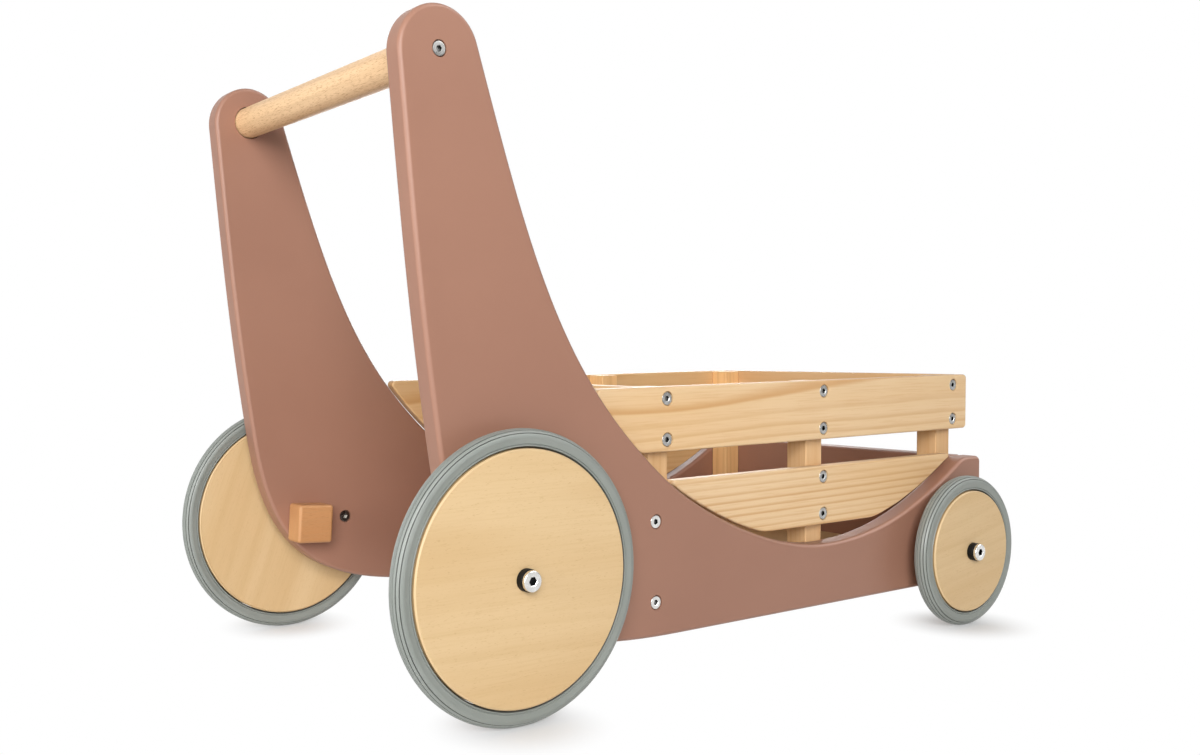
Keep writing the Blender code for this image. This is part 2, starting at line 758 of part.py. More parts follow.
rear_panel_x = REAR_FACE_X - CROSS_PANEL_T
rear_screw_x = REAR_FACE_X - CROSS_PANEL_T / 2
front_screw_x = FRONT_FACE_X + CROSS_PANEL_T / 2
rear_heights = {"low": REAR_SCREW_LOW_Z, "high": REAR_SCREW_HIGH_Z}
front_heights = {"low": FRONT_SCREW_LOW_Z, "high": FRONT_SCREW_HIGH_Z}
rear_holes = cross_panel_screws("rear", rear_screw_x, rear_heights)
front_holes = cross_panel_screws("front", front_screw_x, front_heights)
handle_holes = handle_screws()
pad_holes = pad_screws()
sockets = handle_sockets()
bolt_holes = axle_holes()
cross_slat_holes = cross_slat_screw_holes()

handle_bar(handle_holes)
cross_panel("rear_panel", rear_panel_x, rear_holes)
cross_panel("front_panel", FRONT_FACE_X, front_holes)
cross_slat("rear_slat", REAR_FACE_X - SLAT_T, cross_slat_holes)
cross_slat("front_slat", FRONT_FACE_X, cross_slat_holes)
crate_floor()

for side_name, side_sign in SIDES.items():
    side_panel(side_name, side_sign, sockets, handle_holes, rear_holes, front_holes, pad_holes, bolt_holes)
    slat_holes = slat_screw_holes(side_name, side_sign)
    side_slat("upper_slat_" + side_name, upper_slat_outline(), side_sign, slat_holes)
    side_slat("lower_slat_" + side_name, lower_slat_outline(), side_sign, slat_holes)
    for post_name, post_x in POST_XS.items():
        through = [slat_holes] if post_name == "mid" else [slat_holes, cross_slat_holes]
        post(f"post_{post_name}_{side_name}", post_x, side_sign, *through)
    floor_batten(side_name, side_sign)
    friction_pad(side_name, side_sign, pad_holes)
    knob(side_name, side_sign)
    axle_nut(side_name, side_sign)
    axle_bolt("rear", side_name, side_sign, REAR_AXLE_X, REAR_TYRE_R, CRATE_Y - BOLT_BITE)
    axle_bolt("front", side_name, side_sign, FRONT_AXLE_X, FRONT_TYRE_R, CRATE_Y - NUT_T - BOLT_TIP)
    spacer("rear", side_name, side_sign, REAR_AXLE_X, REAR_TYRE_R)
    spacer("front", side_name, side_sign, FRONT_AXLE_X, FRONT_TYRE_R)
    wheel("rear", side_name, side_sign, REAR_AXLE_X, REAR_TYRE_R, REAR_WHEEL_CORNERS)
    wheel("front", side_name, side_sign, FRONT_AXLE_X, FRONT_TYRE_R, FRONT_WHEEL_CORNERS)
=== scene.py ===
# The baby push walker in its studio: fine pieces over the CAD frame, procedural finishes, light and camera.
# Lengths are in metres. X runs forward, Y to the walker's left, Z up from the floor.
import json
from math import cos, pi, radians, sin, tan, tau

import bmesh
import bpy
from mathutils import Matrix, Vector

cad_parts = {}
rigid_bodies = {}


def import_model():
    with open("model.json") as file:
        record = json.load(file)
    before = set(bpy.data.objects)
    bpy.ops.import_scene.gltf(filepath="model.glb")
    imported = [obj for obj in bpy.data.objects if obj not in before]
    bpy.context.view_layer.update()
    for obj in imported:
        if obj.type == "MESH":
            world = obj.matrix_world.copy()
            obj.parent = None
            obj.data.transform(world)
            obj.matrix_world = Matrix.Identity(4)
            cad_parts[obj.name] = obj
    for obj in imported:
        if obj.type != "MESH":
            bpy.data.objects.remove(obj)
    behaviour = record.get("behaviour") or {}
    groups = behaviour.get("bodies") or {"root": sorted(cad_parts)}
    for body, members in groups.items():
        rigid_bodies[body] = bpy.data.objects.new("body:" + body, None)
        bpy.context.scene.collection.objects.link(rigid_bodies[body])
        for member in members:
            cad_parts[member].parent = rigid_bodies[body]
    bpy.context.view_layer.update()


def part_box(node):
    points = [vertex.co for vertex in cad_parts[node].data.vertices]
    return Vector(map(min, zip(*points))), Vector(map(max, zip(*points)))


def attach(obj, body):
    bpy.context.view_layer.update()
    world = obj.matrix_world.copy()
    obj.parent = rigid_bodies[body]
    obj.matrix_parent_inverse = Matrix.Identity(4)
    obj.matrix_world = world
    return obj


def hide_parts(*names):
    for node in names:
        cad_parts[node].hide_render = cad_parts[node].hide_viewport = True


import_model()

sides = {"right": -1, "left": 1}


def middle(node):
    low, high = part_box(node)
    return (low + high) / 2


def onCentreLine(node):
    place = middle(node)
    return Vector((place.x, 0, place.z))


def halfSize(node):
    low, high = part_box(node)
    return (high - low) / 2


def addObject(name, data):
    made = bpy.data.objects.new(name, data)
    bpy.context.scene.collection.objects.link(made)
    return made


# Node helpers

def feed(tree, socket, value):
    if isinstance(value, bpy.types.NodeSocket):
        tree.links.new(value, socket)
    else:
        socket.default_value = value


def addNode(tree, kind, inputs=None, **settings):
    node = tree.nodes.new(kind)
    for name, value in settings.items():
        setattr(node, name, value)
    for name, value in (inputs or {}).items():
        feed(tree, node.inputs[name], value)
    return node


def result(tree, kind, inputs=None, **settings):
    return addNode(tree, kind, inputs, **settings).outputs[0]


def calc(tree, operation, *values):
    return result(tree, "ShaderNodeMath", dict(enumerate(values)), operation=operation)


def vectorCalc(tree, operation, *values):
    node = addNode(tree, "ShaderNodeVectorMath", dict(enumerate(values)), operation=operation)
    return node.outputs["Value" if operation in ("LENGTH", "DOT_PRODUCT") else "Vector"]


def stretch(tree, vector, factors):
    return vectorCalc(tree, "MULTIPLY", vector, factors)


def noise(tree, vector, detail=2.0, roughness=0.5, scale=1.0):
    values = {"Vector": vector, "Scale": scale, "Detail": detail, "Roughness": roughness}
    return result(tree, "ShaderNodeTexNoise", values)


def ramp(tree, value, start, end, low=0.0, high=1.0):
    values = {"Value": value, "From Min": start, "From Max": end, "To Min": low, "To Max": high}
    return result(tree, "ShaderNodeMapRange", values, interpolation_type="SMOOTHSTEP")


def blendColour(tree, factor, *tints):
    first, second = [(*tint, 1) if isinstance(tint, tuple) else tint for tint in tints]
    return addNode(tree, "ShaderNodeMix", {0: factor, 6: first, 7: second}, data_type="RGBA").outputs[2]


def newGroup(name, inputs, outputs):
    group = bpy.data.node_groups.new(name, "ShaderNodeTree")
    for way, labels in (("INPUT", inputs), ("OUTPUT", outputs)):
        for label in labels:
            kind = "NodeSocketVector" if label == "Vector" else "NodeSocketFloat"
            group.interface.new_socket(label, in_out=way, socket_type=kind)
    return group, group.nodes.new("NodeGroupInput").outputs, group.nodes.new("NodeGroupOutput").inputs


def useGroup(tree, group, look, **given):
    node = addNode(tree, "ShaderNodeGroup", node_tree=group)
    for socket in node.inputs:  # a socket that isn't given takes the look's value of its own name
        key = socket.name[0].lower() + socket.name[1:].replace(" ", "")
        feed(tree, socket, given[key] if key in given else look[key])
    return node.outputs


# Shared effects: the grain runs along X of the vector, and the heart of the log lies on that axis

grainShape = {
    "sway": (2.6, 13.0, 13.0), "swayDetail": 1.2, "lineRise": (0.3, 0.84), "lineFall": (0.86, 1.0),
    "faintest": 0.35, "fibre": (26.0, 900.0, 900.0), "fibreDetail": 3.0, "fibreRoughness": 0.6,
    "tone": (3.0, 34.0, 34.0), "fleckRarest": 0.78, "fleckRange": 0.25, "fleckSoft": 0.1, "fleckDetail": 1.0,
    "patchDetail": 3.0, "plySeam": (0.4, 0.6),
}


def woodGroup():
    g = grainShape
    woodInputs = ("Vector", "Spacing", "Wander", "Slant")
    group, given, made = newGroup("woodGrain", woodInputs, ("Line", "Fibre", "Tone"))
    vector = given["Vector"]
    radius = vectorCalc(group, "LENGTH", stretch(group, vector, (0.0, 1.0, 1.0)))
    sway = calc(group, "SUBTRACT", noise(group, stretch(group, vector, g["sway"]), g["swayDetail"]), 0.5)
    swayed = calc(group, "MULTIPLY_ADD", sway, given["Wander"], radius)
    alongGrain = addNode(group, "ShaderNodeSeparateXYZ", {0: vector}).outputs["X"]
    slanted = calc(group, "MULTIPLY_ADD", alongGrain, given["Slant"], swayed)
    phase = calc(group, "DIVIDE", slanted, given["Spacing"])
    part = calc(group, "FRACT", phase)
    rise = ramp(group, part, *g["lineRise"])  # late wood darkens slowly and ends at once
    fall = ramp(group, part, *g["lineFall"], 1.0, 0.0)
    line = calc(group, "MULTIPLY", calc(group, "MULTIPLY", rise, rise), fall)
    ringNumber = calc(group, "FLOOR", phase)
    chance = result(group, "ShaderNodeTexWhiteNoise", {"W": ringNumber}, noise_dimensions="1D")
    strength = ramp(group, chance, 0.0, 1.0, g["faintest"], 1.0)
    fibres = stretch(group, vector, g["fibre"])
    feed(group, made["Line"], calc(group, "MULTIPLY", line, strength))
    feed(group, made["Fibre"], noise(group, fibres, g["fibreDetail"], g["fibreRoughness"]))
    feed(group, made["Tone"], noise(group, stretch(group, vector, g["tone"])))
    return group


def fleckGroup():
    g = grainShape
    fleckInputs = ("Vector", "Fleck Length", "Fleck Width", "Fleck Amount")
    group, given, made = newGroup("grainFlecks", fleckInputs, ("Fleck",))
    alongScale = calc(group, "DIVIDE", 1.0, given["Fleck Length"])
    acrossScale = calc(group, "DIVIDE", 1.0, given["Fleck Width"])
    scale = result(group, "ShaderNodeCombineXYZ", {"X": alongScale, "Y": acrossScale, "Z": acrossScale})
    field = noise(group, stretch(group, given["Vector"], scale), g["fleckDetail"])
    edge = calc(group, "MULTIPLY_ADD", given["Fleck Amount"], -g["fleckRange"], g["fleckRarest"])
    feed(group, made["Fleck"], ramp(group, field, edge, calc(group, "ADD", edge, g["fleckSoft"])))
    return group


def patchGroup():
    group, given, made = newGroup("softPatches", ("Vector", "Patch Size", "Grit Size"), ("Patch", "Grit"))
    patchScale = calc(group, "DIVIDE", 1.0, given["Patch Size"])
    gritScale = calc(group, "DIVIDE", 1.0, given["Grit Size"])
    feed(group, made["Patch"], noise(group, given["Vector"], grainShape["patchDetail"], scale=patchScale))
    feed(group, made["Grit"], noise(group, given["Vector"], scale=gritScale))
    return group


def plyGroup():
    group, given, made = newGroup("plyLayers", ("Along", "Layer"), ("Dark",))
    part = calc(group, "PINGPONG", calc(group, "DIVIDE", given["Along"], given["Layer"]), 1.0)
    feed(group, made["Dark"], ramp(group, part, *grainShape["plySeam"]))
    return group


woodGrain = woodGroup()
grainFlecks = fleckGroup()
softPatches = patchGroup()
plyLayers = plyGroup()


# Finishes

finishShape = {"patch": (0.3, 0.7), "fibre": (0.45, 0.75), "bumpDepth": 0.0002, "spread": 0.15}


def newFinish(name, look):
    material = bpy.data.materials.new(name)
    material.use_nodes = True
    tree = material.node_tree
    inputs = tree.nodes["Principled BSDF"].inputs
    inputs["Roughness"].default_value = look["roughness"]
    inputs["Metallic"].default_value = look.get("metallic", 0.0)
    inputs["Specular IOR Level"].default_value = look["gloss"]
    return material, tree, inputs, addNode(tree, "ShaderNodeTexCoord").outputs["Object"]


def bump(tree, height, strength):
    values = {"Height": height, "Strength": strength, "Distance": finishShape["bumpDepth"]}
    return result(tree, "ShaderNodeBump", values)


def faceMark(tree, name):
    return addNode(tree, "ShaderNodeAttribute", attribute_name=name).outputs["Fac"]


def woodFinish(name, look, shift, turn, layerAxis=None):
    material, tree, inputs, place = newFinish(name, look)
    vector = result(tree, "ShaderNodeMapping", {"Vector": place, "Location": shift, "Rotation": turn})
    grain = useGroup(tree, woodGrain, look, vector=vector)
    flecks = useGroup(tree, grainFlecks, look, vector=vector)
    toned = blendColour(tree, ramp(tree, grain["Tone"], *finishShape["patch"]), look["pale"], look["warm"])
    lined = blendColour(tree, calc(tree, "MULTIPLY", grain["Line"], look["lines"]), toned, look["dark"])
    fibre = calc(tree, "MULTIPLY", ramp(tree, grain["Fibre"], *finishShape["fibre"]), look["fibres"])
    streaked = blendColour(tree, fibre, lined, look["dark"])
    fleck = calc(tree, "MULTIPLY", flecks["Fleck"], look["flecks"])
    colour = blendColour(tree, fleck, streaked, look["fleck"])
    if layerAxis:  # plywood shows its layers on the edges
        along = addNode(tree, "ShaderNodeSeparateXYZ", {0: place}).outputs[layerAxis]
        dark = useGroup(tree, plyLayers, look, along=along)["Dark"]
        edge = blendColour(tree, dark, look["edgePale"], look["edgeDark"])
        colour = blendColour(tree, faceMark(tree, "plyEdge"), colour, edge)
    feed(tree, inputs["Base Color"], colour)
    feed(tree, inputs["Normal"], bump(tree, grain["Fibre"], look["bump"]))
    return material


def patchFinish(name, look):
    material, tree, inputs, place = newFinish(name, look)
    patches = useGroup(tree, softPatches, look, vector=place)
    mixed = blendColour(tree, ramp(tree, patches["Patch"], *finishShape["patch"]), look["deep"], look["pale"])
    # Faces marked in the mesh take the look's second colour: a painted shade in the tyre grooves and in screw
    # and bolt sockets, a painted highlight on the pad screws' socket walls.
    if "recess" in look:
        mixed = blendColour(tree, faceMark(tree, "recess"), mixed, look["recess"])
    spread = look.get("spread", finishShape["spread"])
    roughness = [look["roughness"] * (1 + share) for share in (-spread, spread)]
    feed(tree, inputs["Base Color"], mixed)
    feed(tree, inputs["Roughness"], ramp(tree, patches["Patch"], *finishShape["patch"], *roughness))
    feed(tree, inputs["Normal"], bump(tree, patches["Grit"], look["bump"]))
    return material


paintLook = {
    "deep": (0.312, 0.156, 0.105), "pale": (0.328, 0.166, 0.112), "roughness": 0.42, "gloss": 0.45,
    "spread": 0.0, "patchSize": 0.08, "gritSize": 0.0011, "bump": 0.1,
}
pineLook = {
    "pale": (0.77, 0.56, 0.336), "warm": (0.725, 0.492, 0.264), "dark": (0.55, 0.278, 0.095),
    "spacing": 0.0043, "wander": 0.011, "slant": 0.012, "lines": 0.72, "fibres": 0.26, "roughness": 0.5,
    "gloss": 0.35, "bump": 0.1, "fleck": (0.5, 0.27, 0.11), "flecks": 0.25, "fleckLength": 0.004,
    "fleckWidth": 0.0004, "fleckAmount": 0.3,
}
# A darker, more orange copy of the pine for the left slats: painted shade for their inner faces.
leftShadeLook = {**pineLook, "pale": (0.735, 0.49, 0.255), "warm": (0.68, 0.425, 0.2)}
lowerLook = {**pineLook, "spacing": 0.0036, "wander": 0.004, "slant": 0.01, "lines": 0.76, "fibres": 0.3}
postLook = {**pineLook, "pale": (0.86, 0.545, 0.255), "warm": (0.8, 0.475, 0.205), "lines": 0.35}
# A darker copy of the post pine for the right posts and the cross slats: painted shade.
shadedPostLook = {**postLook, "pale": (0.695, 0.458, 0.242), "warm": (0.635, 0.392, 0.192)}
beechLook = {
    "pale": (0.8, 0.555, 0.32), "warm": (0.74, 0.49, 0.268), "dark": (0.46, 0.265, 0.125),
    "spacing": 0.0042, "wander": 0.006, "slant": 0.01, "lines": 0.22, "fibres": 0.2, "roughness": 0.45,
    "gloss": 0.4, "bump": 0.06, "fleck": (0.42, 0.19, 0.075), "flecks": 0.62, "fleckLength": 0.0046,
    "fleckWidth": 0.0004, "fleckAmount": 0.85,
}
knobLook = {
    **beechLook, "pale": (0.56, 0.28, 0.118), "warm": (0.5, 0.238, 0.094), "lines": 0.32, "fibres": 0.4,
    "flecks": 0.5, "bump": 0.12,
}
birchLook = {
    "pale": (0.665, 0.48, 0.264), "warm": (0.612, 0.422, 0.216), "dark": (0.52, 0.33, 0.15),
    "spacing": 0.016, "wander": 0.05, "slant": 0.0, "lines": 0.22, "fibres": 0.22, "roughness": 0.48,
    "gloss": 0.38, "bump": 0.04, "fleck": (0.46, 0.27, 0.12), "flecks": 0.4, "fleckLength": 0.003,
    "fleckWidth": 0.00045, "fleckAmount": 0.55, "layer": 0.0012, "edgePale": (0.62, 0.445, 0.245),
    "edgeDark": (0.45, 0.285, 0.13),
}
# The rubber's second colour is a near-black painted shade for the tyre's grooves and its seat by the disc.
rubberLook = {
    "deep": (0.217, 0.235, 0.214), "pale": (0.234, 0.252, 0.231), "roughness": 0.48, "gloss": 0.7,
    "patchSize": 0.03, "gritSize": 0.0005, "bump": 0.1, "recess": (0.07, 0.074, 0.068),
}
# The steel's second colour is a near-black painted shade for the screw and bolt sockets.
steelLook = {
    "deep": (0.7, 0.69, 0.67), "pale": (0.82, 0.81, 0.79), "roughness": 0.24, "gloss": 0.5, "metallic": 1.0,
    "patchSize": 0.003, "gritSize": 0.0004, "bump": 0.1, "recess": (0.02, 0.02, 0.02),
}
# A darker copy of the steel for the slat and handle screws: painted shade that stands in for a dimmer
# reflection.
shadedSteelLook = {**steelLook, "deep": (0.38, 0.38, 0.365), "pale": (0.52, 0.515, 0.5), "roughness": 0.28}
# The pad screws have a dark head and a pale second colour: a painted highlight on their socket walls.
blackLook = {
    **steelLook, "deep": (0.095, 0.09, 0.082), "pale": (0.16, 0.15, 0.138), "roughness": 0.28,
    "recess": (0.8, 0.79, 0.76),
}
brassLook = {**steelLook, "deep": (0.66, 0.44, 0.15), "pale": (0.76, 0.54, 0.21)}
plasticLook = {
    "deep": (0.005, 0.005, 0.005), "pale": (0.008, 0.008, 0.008), "roughness": 0.45, "gloss": 0.12,
    "patchSize": 0.006, "gritSize": 0.0004, "bump": 0.08,
}
feltLook = {
    "deep": (0.12, 0.12, 0.12), "pale": (0.2, 0.2, 0.2), "roughness": 0.95, "gloss": 0.1,
    "patchSize": 0.002, "gritSize": 0.0006, "bump": 0.8,
}

alongX = (0.0, 0.0, 0.0)
alongY = (0.0, 0.0, -pi / 2)
alongZ = (0.0, pi / 2, 0.0)
mauvePaint = patchFinish("mauvePaint", paintLook)
pineLong = woodFinish("pineLong", pineLook, (0.0, 0.05, -0.212), alongX)
pineLower = woodFinish("pineLower", lowerLook, (0.1, 0.052, -0.19), alongX)
pineLeft = woodFinish("pineLeft", leftShadeLook, (0.2, -0.051, -0.205), alongX)
pineAcross = woodFinish("pineAcross", shadedPostLook, (0.05, 0.06, -0.215), alongY)
pineUpright = woodFinish("pineUpright", postLook, (0.0, 0.0, 0.07), alongZ)
pineMuted = woodFinish("pineMuted", shadedPostLook, (0.0, 0.0, 0.07), alongZ)
beechBar = woodFinish("beechBar", beechLook, (0.03, 0.235, -0.365), alongY)
beechKnob = woodFinish("beechKnob", knobLook, (0.0, 0.09, -0.05), alongX)
birchFloor = woodFinish("birchFloor", birchLook, (0.0, 0.02, 0.06), alongX, "Z")
greyRubber = patchFinish("greyRubber", rubberLook)
brightSteel = patchFinish("brightSteel", steelLook)
dullSteel = patchFinish("dullSteel", shadedSteelLook)
blackSteel = patchFinish("blackSteel", blackLook)
paleBrass = patchFinish("paleBrass", brassLook)
blackPlastic = patchFinish("blackPlastic", plasticLook)
greyFelt = patchFinish("greyFelt", feltLook)
print("finishes:", len(bpy.data.materials))


# Mesh helpers

edgeAngles = {"sharp": radians(32), "soft": radians(50)}
overcut = 0.001  # how far a cutter stands out of the wood


def newPiece(name, bm, material):
    bmesh.ops.recalc_face_normals(bm, faces=bm.faces)
    mesh = bpy.data.meshes.new(name)
    bm.to_mesh(mesh)
    bm.free()
    mesh.materials.append(material)
    return addObject(name, mesh)


def plainMesh(piece):
    graph = bpy.context.evaluated_depsgraph_get()
    mesh = bpy.data.meshes.new_from_object(piece.evaluated_get(graph))
    piece.modifiers.clear()
    piece.data = mesh


def smooth(piece):
    piece.data.shade_smooth()
    piece.data.set_sharp_from_angle(angle=edgeAngles["sharp"])
    weighted = piece.modifiers.new("weighted", "WEIGHTED_NORMAL")
    weighted.keep_sharp = True
    plainMesh(piece)
    return piece


def shape(piece, edge=0.0, steps=1, cutters=()):
    if edge:
        bevel = piece.modifiers.new("soft", "BEVEL")
        bevel.width = edge
        bevel.segments = steps
        bevel.limit_method = "ANGLE"
        bevel.angle_limit = edgeAngles["soft"]
    for cutter in cutters:
        boolean = piece.modifiers.new("hole", "BOOLEAN")
        boolean.operation = "DIFFERENCE"
        boolean.solver = "EXACT"
        boolean.object = cutter
    plainMesh(piece)
    return smooth(piece)


def settle(piece, slotName, *nodes, body="frame"):
    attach(piece, body)
    if nodes:
        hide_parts(*nodes)
    return piece


def addRing(bm, centre, axis, radius, along, corners, sixSided):
    across = Vector((0, 0, 1)) if abs(axis.z) < 0.5 else Vector((1, 0, 0))
    aside = axis.cross(across)
    ring = []
    for i in range(corners):
        turn = tau * i / corners
        reach = radius / cos((turn + pi / 6) % (pi / 3) - pi / 6) if sixSided else radius
        spoke = across * cos(turn) + aside * sin(turn)
        ring.append(bm.verts.new(centre + axis * along + spoke * reach))
    return ring


def addTurned(bm, centre, axis, profile, corners, hollow=False):
    rings = [addRing(bm, centre, axis, *point[:2], corners, "six" in point) for point in profile]
    pairs = list(zip(rings, rings[1:]))
    if hollow:
        pairs.append((rings[-1], rings[0]))
    for ring, other in pairs:
        for i in range(corners):
            k = (i + 1) % corners
            bm.faces.new((ring[i], ring[k], other[k], other[i]))
    if not hollow:
        bm.faces.new(rings[0])
        bm.faces.new(rings[-1])


def turnedPiece(name, centre, axis, profile, corners, material, hollow=False):
    bm = bmesh.new()
    addTurned(bm, centre, axis, profile, corners, hollow)
    return newPiece(name, bm, material)


def markFaces(piece, name, test):
    marks = piece.data.attributes.new(name, "FLOAT", "FACE")
    for mark, face in zip(marks.data, piece.data.polygons):
        mark.value = 1.0 if test(face) else 0.0


def roundCorner(centre, radius, start, end, steps):
    turns = [start + (end - start) * i / steps for i in range(steps + 1)]
    return [(centre[0] + radius * cos(t), centre[1] + radius * sin(t)) for t in turns]


def boxPiece(name, low, high, material):
    bm = bmesh.new()
    bmesh.ops.create_cube(bm, size=1.0)
    for vert in bm.verts:
        share = vert.co + Vector((0.5, 0.5, 0.5))
        vert.co = Vector(a + (b - a) * c for a, b, c in zip(low, high, share))
    return newPiece(name, bm, material)


# Outlines of the side panels and slats: X is measured from the rear axle, and a pull is a curve's handle

panelShape = {
    "edge": 0.003, "edgeSteps": 6, "bottomZ": 0.0313, "roundX": -0.041, "roundZ": 0.4, "roundR": 0.0285,
    "topTurn": radians(17.8), "topPull": 0.1365, "midX": 0.1395, "midZ": 0.1376, "midFall": radians(38.6),
    "midPullUp": 0.1146, "midPullDown": 0.0403, "lowX": 0.304, "lowZ": 0.0777, "lowPullBack": 0.0606,
    "lowPullAhead": 0.0646, "riseX": 0.462, "riseZ": 0.1252, "riseSlope": radians(30.8), "risePull": 0.0499,
    "shoulderZ": 0.132, "shoulderR": 0.026, "noseX": 0.4973, "noseR": 0.0048, "heelX": 0.15,
    "heelPull": 0.1243, "backX": -0.0424, "backZ": 0.155, "backLean": radians(9), "backPullDown": 0.1029,
    "backPullUp": 0.09, "backTopTurn": radians(5), "backTopPull": 0.09, "cornerSteps": 8,
    "cornerShare": 0.49, "swoopSteps": 44, "riseSteps": 36, "backSteps": 32, "roundSteps": 40,
}
slatShape = {
    "thickness": 0.009, "edge": 0.0014, "edgeSteps": 4, "topZ": 0.2, "height": 0.0445, "space": 0.02,
    "cornerR": 0.0035, "heelR": 0.01, "tipR": 0.002, "bellyR": 0.06, "upperGap": 0.0025, "rearGap": 0.003,
    "frontGap": 0.0055, "curveSteps": 60, "upperSteps": 4, "lowerSteps": 5,
}
axleSpots = {place: onCentreLine(place + "_tyre_right") for place in ("rear", "front")}
rearAxleX = axleSpots["rear"].x
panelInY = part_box("side_panel_left")[0].y
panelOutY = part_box("side_panel_left")[1].y


def bezier(start, pull, pullEnd, end, steps):
    points = []
    for i in range(1, steps + 1):
        t = i / steps
        s = 1 - t
        points.append(start * s**3 + pull * (3 * s * s * t) + pullEnd * (3 * s * t * t) + end * t**3)
    return points


def fillet(before, corner, after, radius, steps):
    back = (before - corner).normalized()
    ahead = (after - corner).normalized()
    half = back.angle(ahead) / 2
    wall = min((before - corner).length, (after - corner).length)
    reach = min(radius / tan(half), wall * panelShape["cornerShare"])
    centre = corner + (back + ahead).normalized() * (reach / cos(half))
    first = corner + back * reach - centre
    last = corner + ahead * reach - centre
    return [centre + first.slerp(last, i / steps) * first.length for i in range(steps + 1)]


def rounded(corners):
    points = []
    for i, (corner, radius) in enumerate(corners):
        if radius:
            after = corners[(i + 1) % len(corners)][0]
            points += fillet(corners[i - 1][0], corner, after, radius, panelShape["cornerSteps"])
        else:
            points.append(corner)
    return points


def heading(angle):
    return Vector((cos(angle), sin(angle)))


def panelPoint(name):
    return Vector((panelShape[name + "X"], panelShape[name + "Z"]))


def swoopBack(steps):
    p = panelShape
    spoke = heading(p["topTurn"])
    top = panelPoint("round") + spoke * p["roundR"]
    mid = panelPoint("mid")
    low = panelPoint("low")
    fall = heading(-p["midFall"])
    start = top + Vector((spoke.y, -spoke.x)) * p["topPull"]
    level = low - Vector((p["lowPullBack"], 0))
    down = bezier(top, start, mid - fall * p["midPullUp"], mid, steps)
    return [top] + down + bezier(mid, mid + fall * p["midPullDown"], level, low, steps)


def swoopFront(steps):
    p = panelShape
    low = panelPoint("low")
    end = panelPoint("rise")
    level = low + Vector((p["lowPullAhead"], 0))
    return [low] + bezier(low, level, end - heading(p["riseSlope"]) * p["risePull"], end, steps)


def backEdge(steps):
    p = panelShape
    heel = Vector((p["heelX"], p["bottomZ"]))
    back = panelPoint("back")
    lean = heading(p["backLean"] - pi / 2)
    spoke = -heading(p["backTopTurn"])
    top = panelPoint("round") + spoke * p["roundR"]
    level = heel - Vector((p["heelPull"], 0))
    end = top + Vector((-spoke.y, spoke.x)) * p["backTopPull"]
    rise = bezier(heel, level, back + lean * p["backPullDown"], back, steps)
    return [heel] + rise + bezier(back, back - lean * p["backPullUp"], end, top, steps)


def roundEnd(steps):
    p = panelShape
    start = pi + p["backTopTurn"]
    sweep = start - p["topTurn"]
    return [panelPoint("round") + heading(start - sweep * i / steps) * p["roundR"] for i in range(1, steps)]


def panelOutline():
    p = panelShape
    shoulderX = p["riseX"] + (p["shoulderZ"] - p["riseZ"]) / tan(p["riseSlope"])
    corners = [(point, 0) for point in swoopBack(p["swoopSteps"]) + swoopFront(p["riseSteps"])[1:]]
    corners.append((Vector((shoulderX, p["shoulderZ"])), p["shoulderR"]))
    corners.append((Vector((p["noseX"], p["shoulderZ"])), p["noseR"]))
    corners.append((Vector((p["noseX"], p["bottomZ"])), p["noseR"]))
    corners += [(point, 0) for point in backEdge(p["backSteps"]) + roundEnd(p["roundSteps"])]
    return rounded(corners)


def shifted(points, gap):
    moved = []
    for i, point in enumerate(points):
        along = points[min(i + 1, len(points) - 1)] - points[max(i - 1, 0)]
        moved.append(point + Vector((-along.y, along.x)).normalized() * gap)
    return moved


def atHeight(points, z):
    for start, end in zip(points, points[1:]):
        if min(start.y, end.y) <= z <= max(start.y, end.y):
            return start.lerp(end, (z - start.y) / (end.y - start.y))
    raise ValueError("the swoop does not reach that height")


def edgeBetween(points, zFrom, zTo, steps):
    return [atHeight(points, zFrom + (zTo - zFrom) * i / steps) for i in range(steps + 1)]


def withCorners(points, firstR, lastR):
    return list(zip(points, [firstR] + [0] * (len(points) - 2) + [lastR]))


def upperSlatOutline():
    s = slatShape
    lowZ = s["topZ"] - s["height"]
    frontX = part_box("upper_slat_right")[1].x - rearAxleX
    swoop = shifted(swoopBack(s["curveSteps"]), s["upperGap"])
    corners = withCorners(edgeBetween(swoop, s["topZ"], lowZ, s["upperSteps"]), s["cornerR"], s["heelR"])
    corners.append((Vector((frontX, lowZ)), s["cornerR"]))
    corners.append((Vector((frontX, s["topZ"])), s["cornerR"]))
    return rounded(corners)


def lowerSlatOutline():
    s = slatShape
    topZ = s["topZ"] - s["height"] - s["space"]
    lowZ = topZ - s["height"]
    slope = heading(panelShape["riseSlope"])
    rise = swoopFront(s["curveSteps"])
    back = shifted(swoopBack(s["curveSteps"]), s["rearGap"])
    front = shifted(rise + [rise[-1] + slope * s["height"]], s["frontGap"])
    corners = withCorners(edgeBetween(back, topZ, lowZ, s["lowerSteps"]), s["tipR"], s["bellyR"])
    corners += withCorners(edgeBetween(front, lowZ, topZ, s["lowerSteps"]), s["bellyR"], s["tipR"])
    return rounded(corners)


def platePiece(name, outline, yStart, yEnd, material):
    bm = bmesh.new()
    rings = [[bm.verts.new((rearAxleX + point.x, y, point.y)) for point in outline] for y in (yStart, yEnd)]
    start, end = rings
    bm.faces.new(start)
    bm.faces.new(end)
    for i in range(len(start)):
        k = (i + 1) % len(start)
        bm.faces.new((start[i], start[k], end[k], end[i]))
    return newPiece(name, bm, material)


# Screws: a seat is a point on the wood and the way its head faces

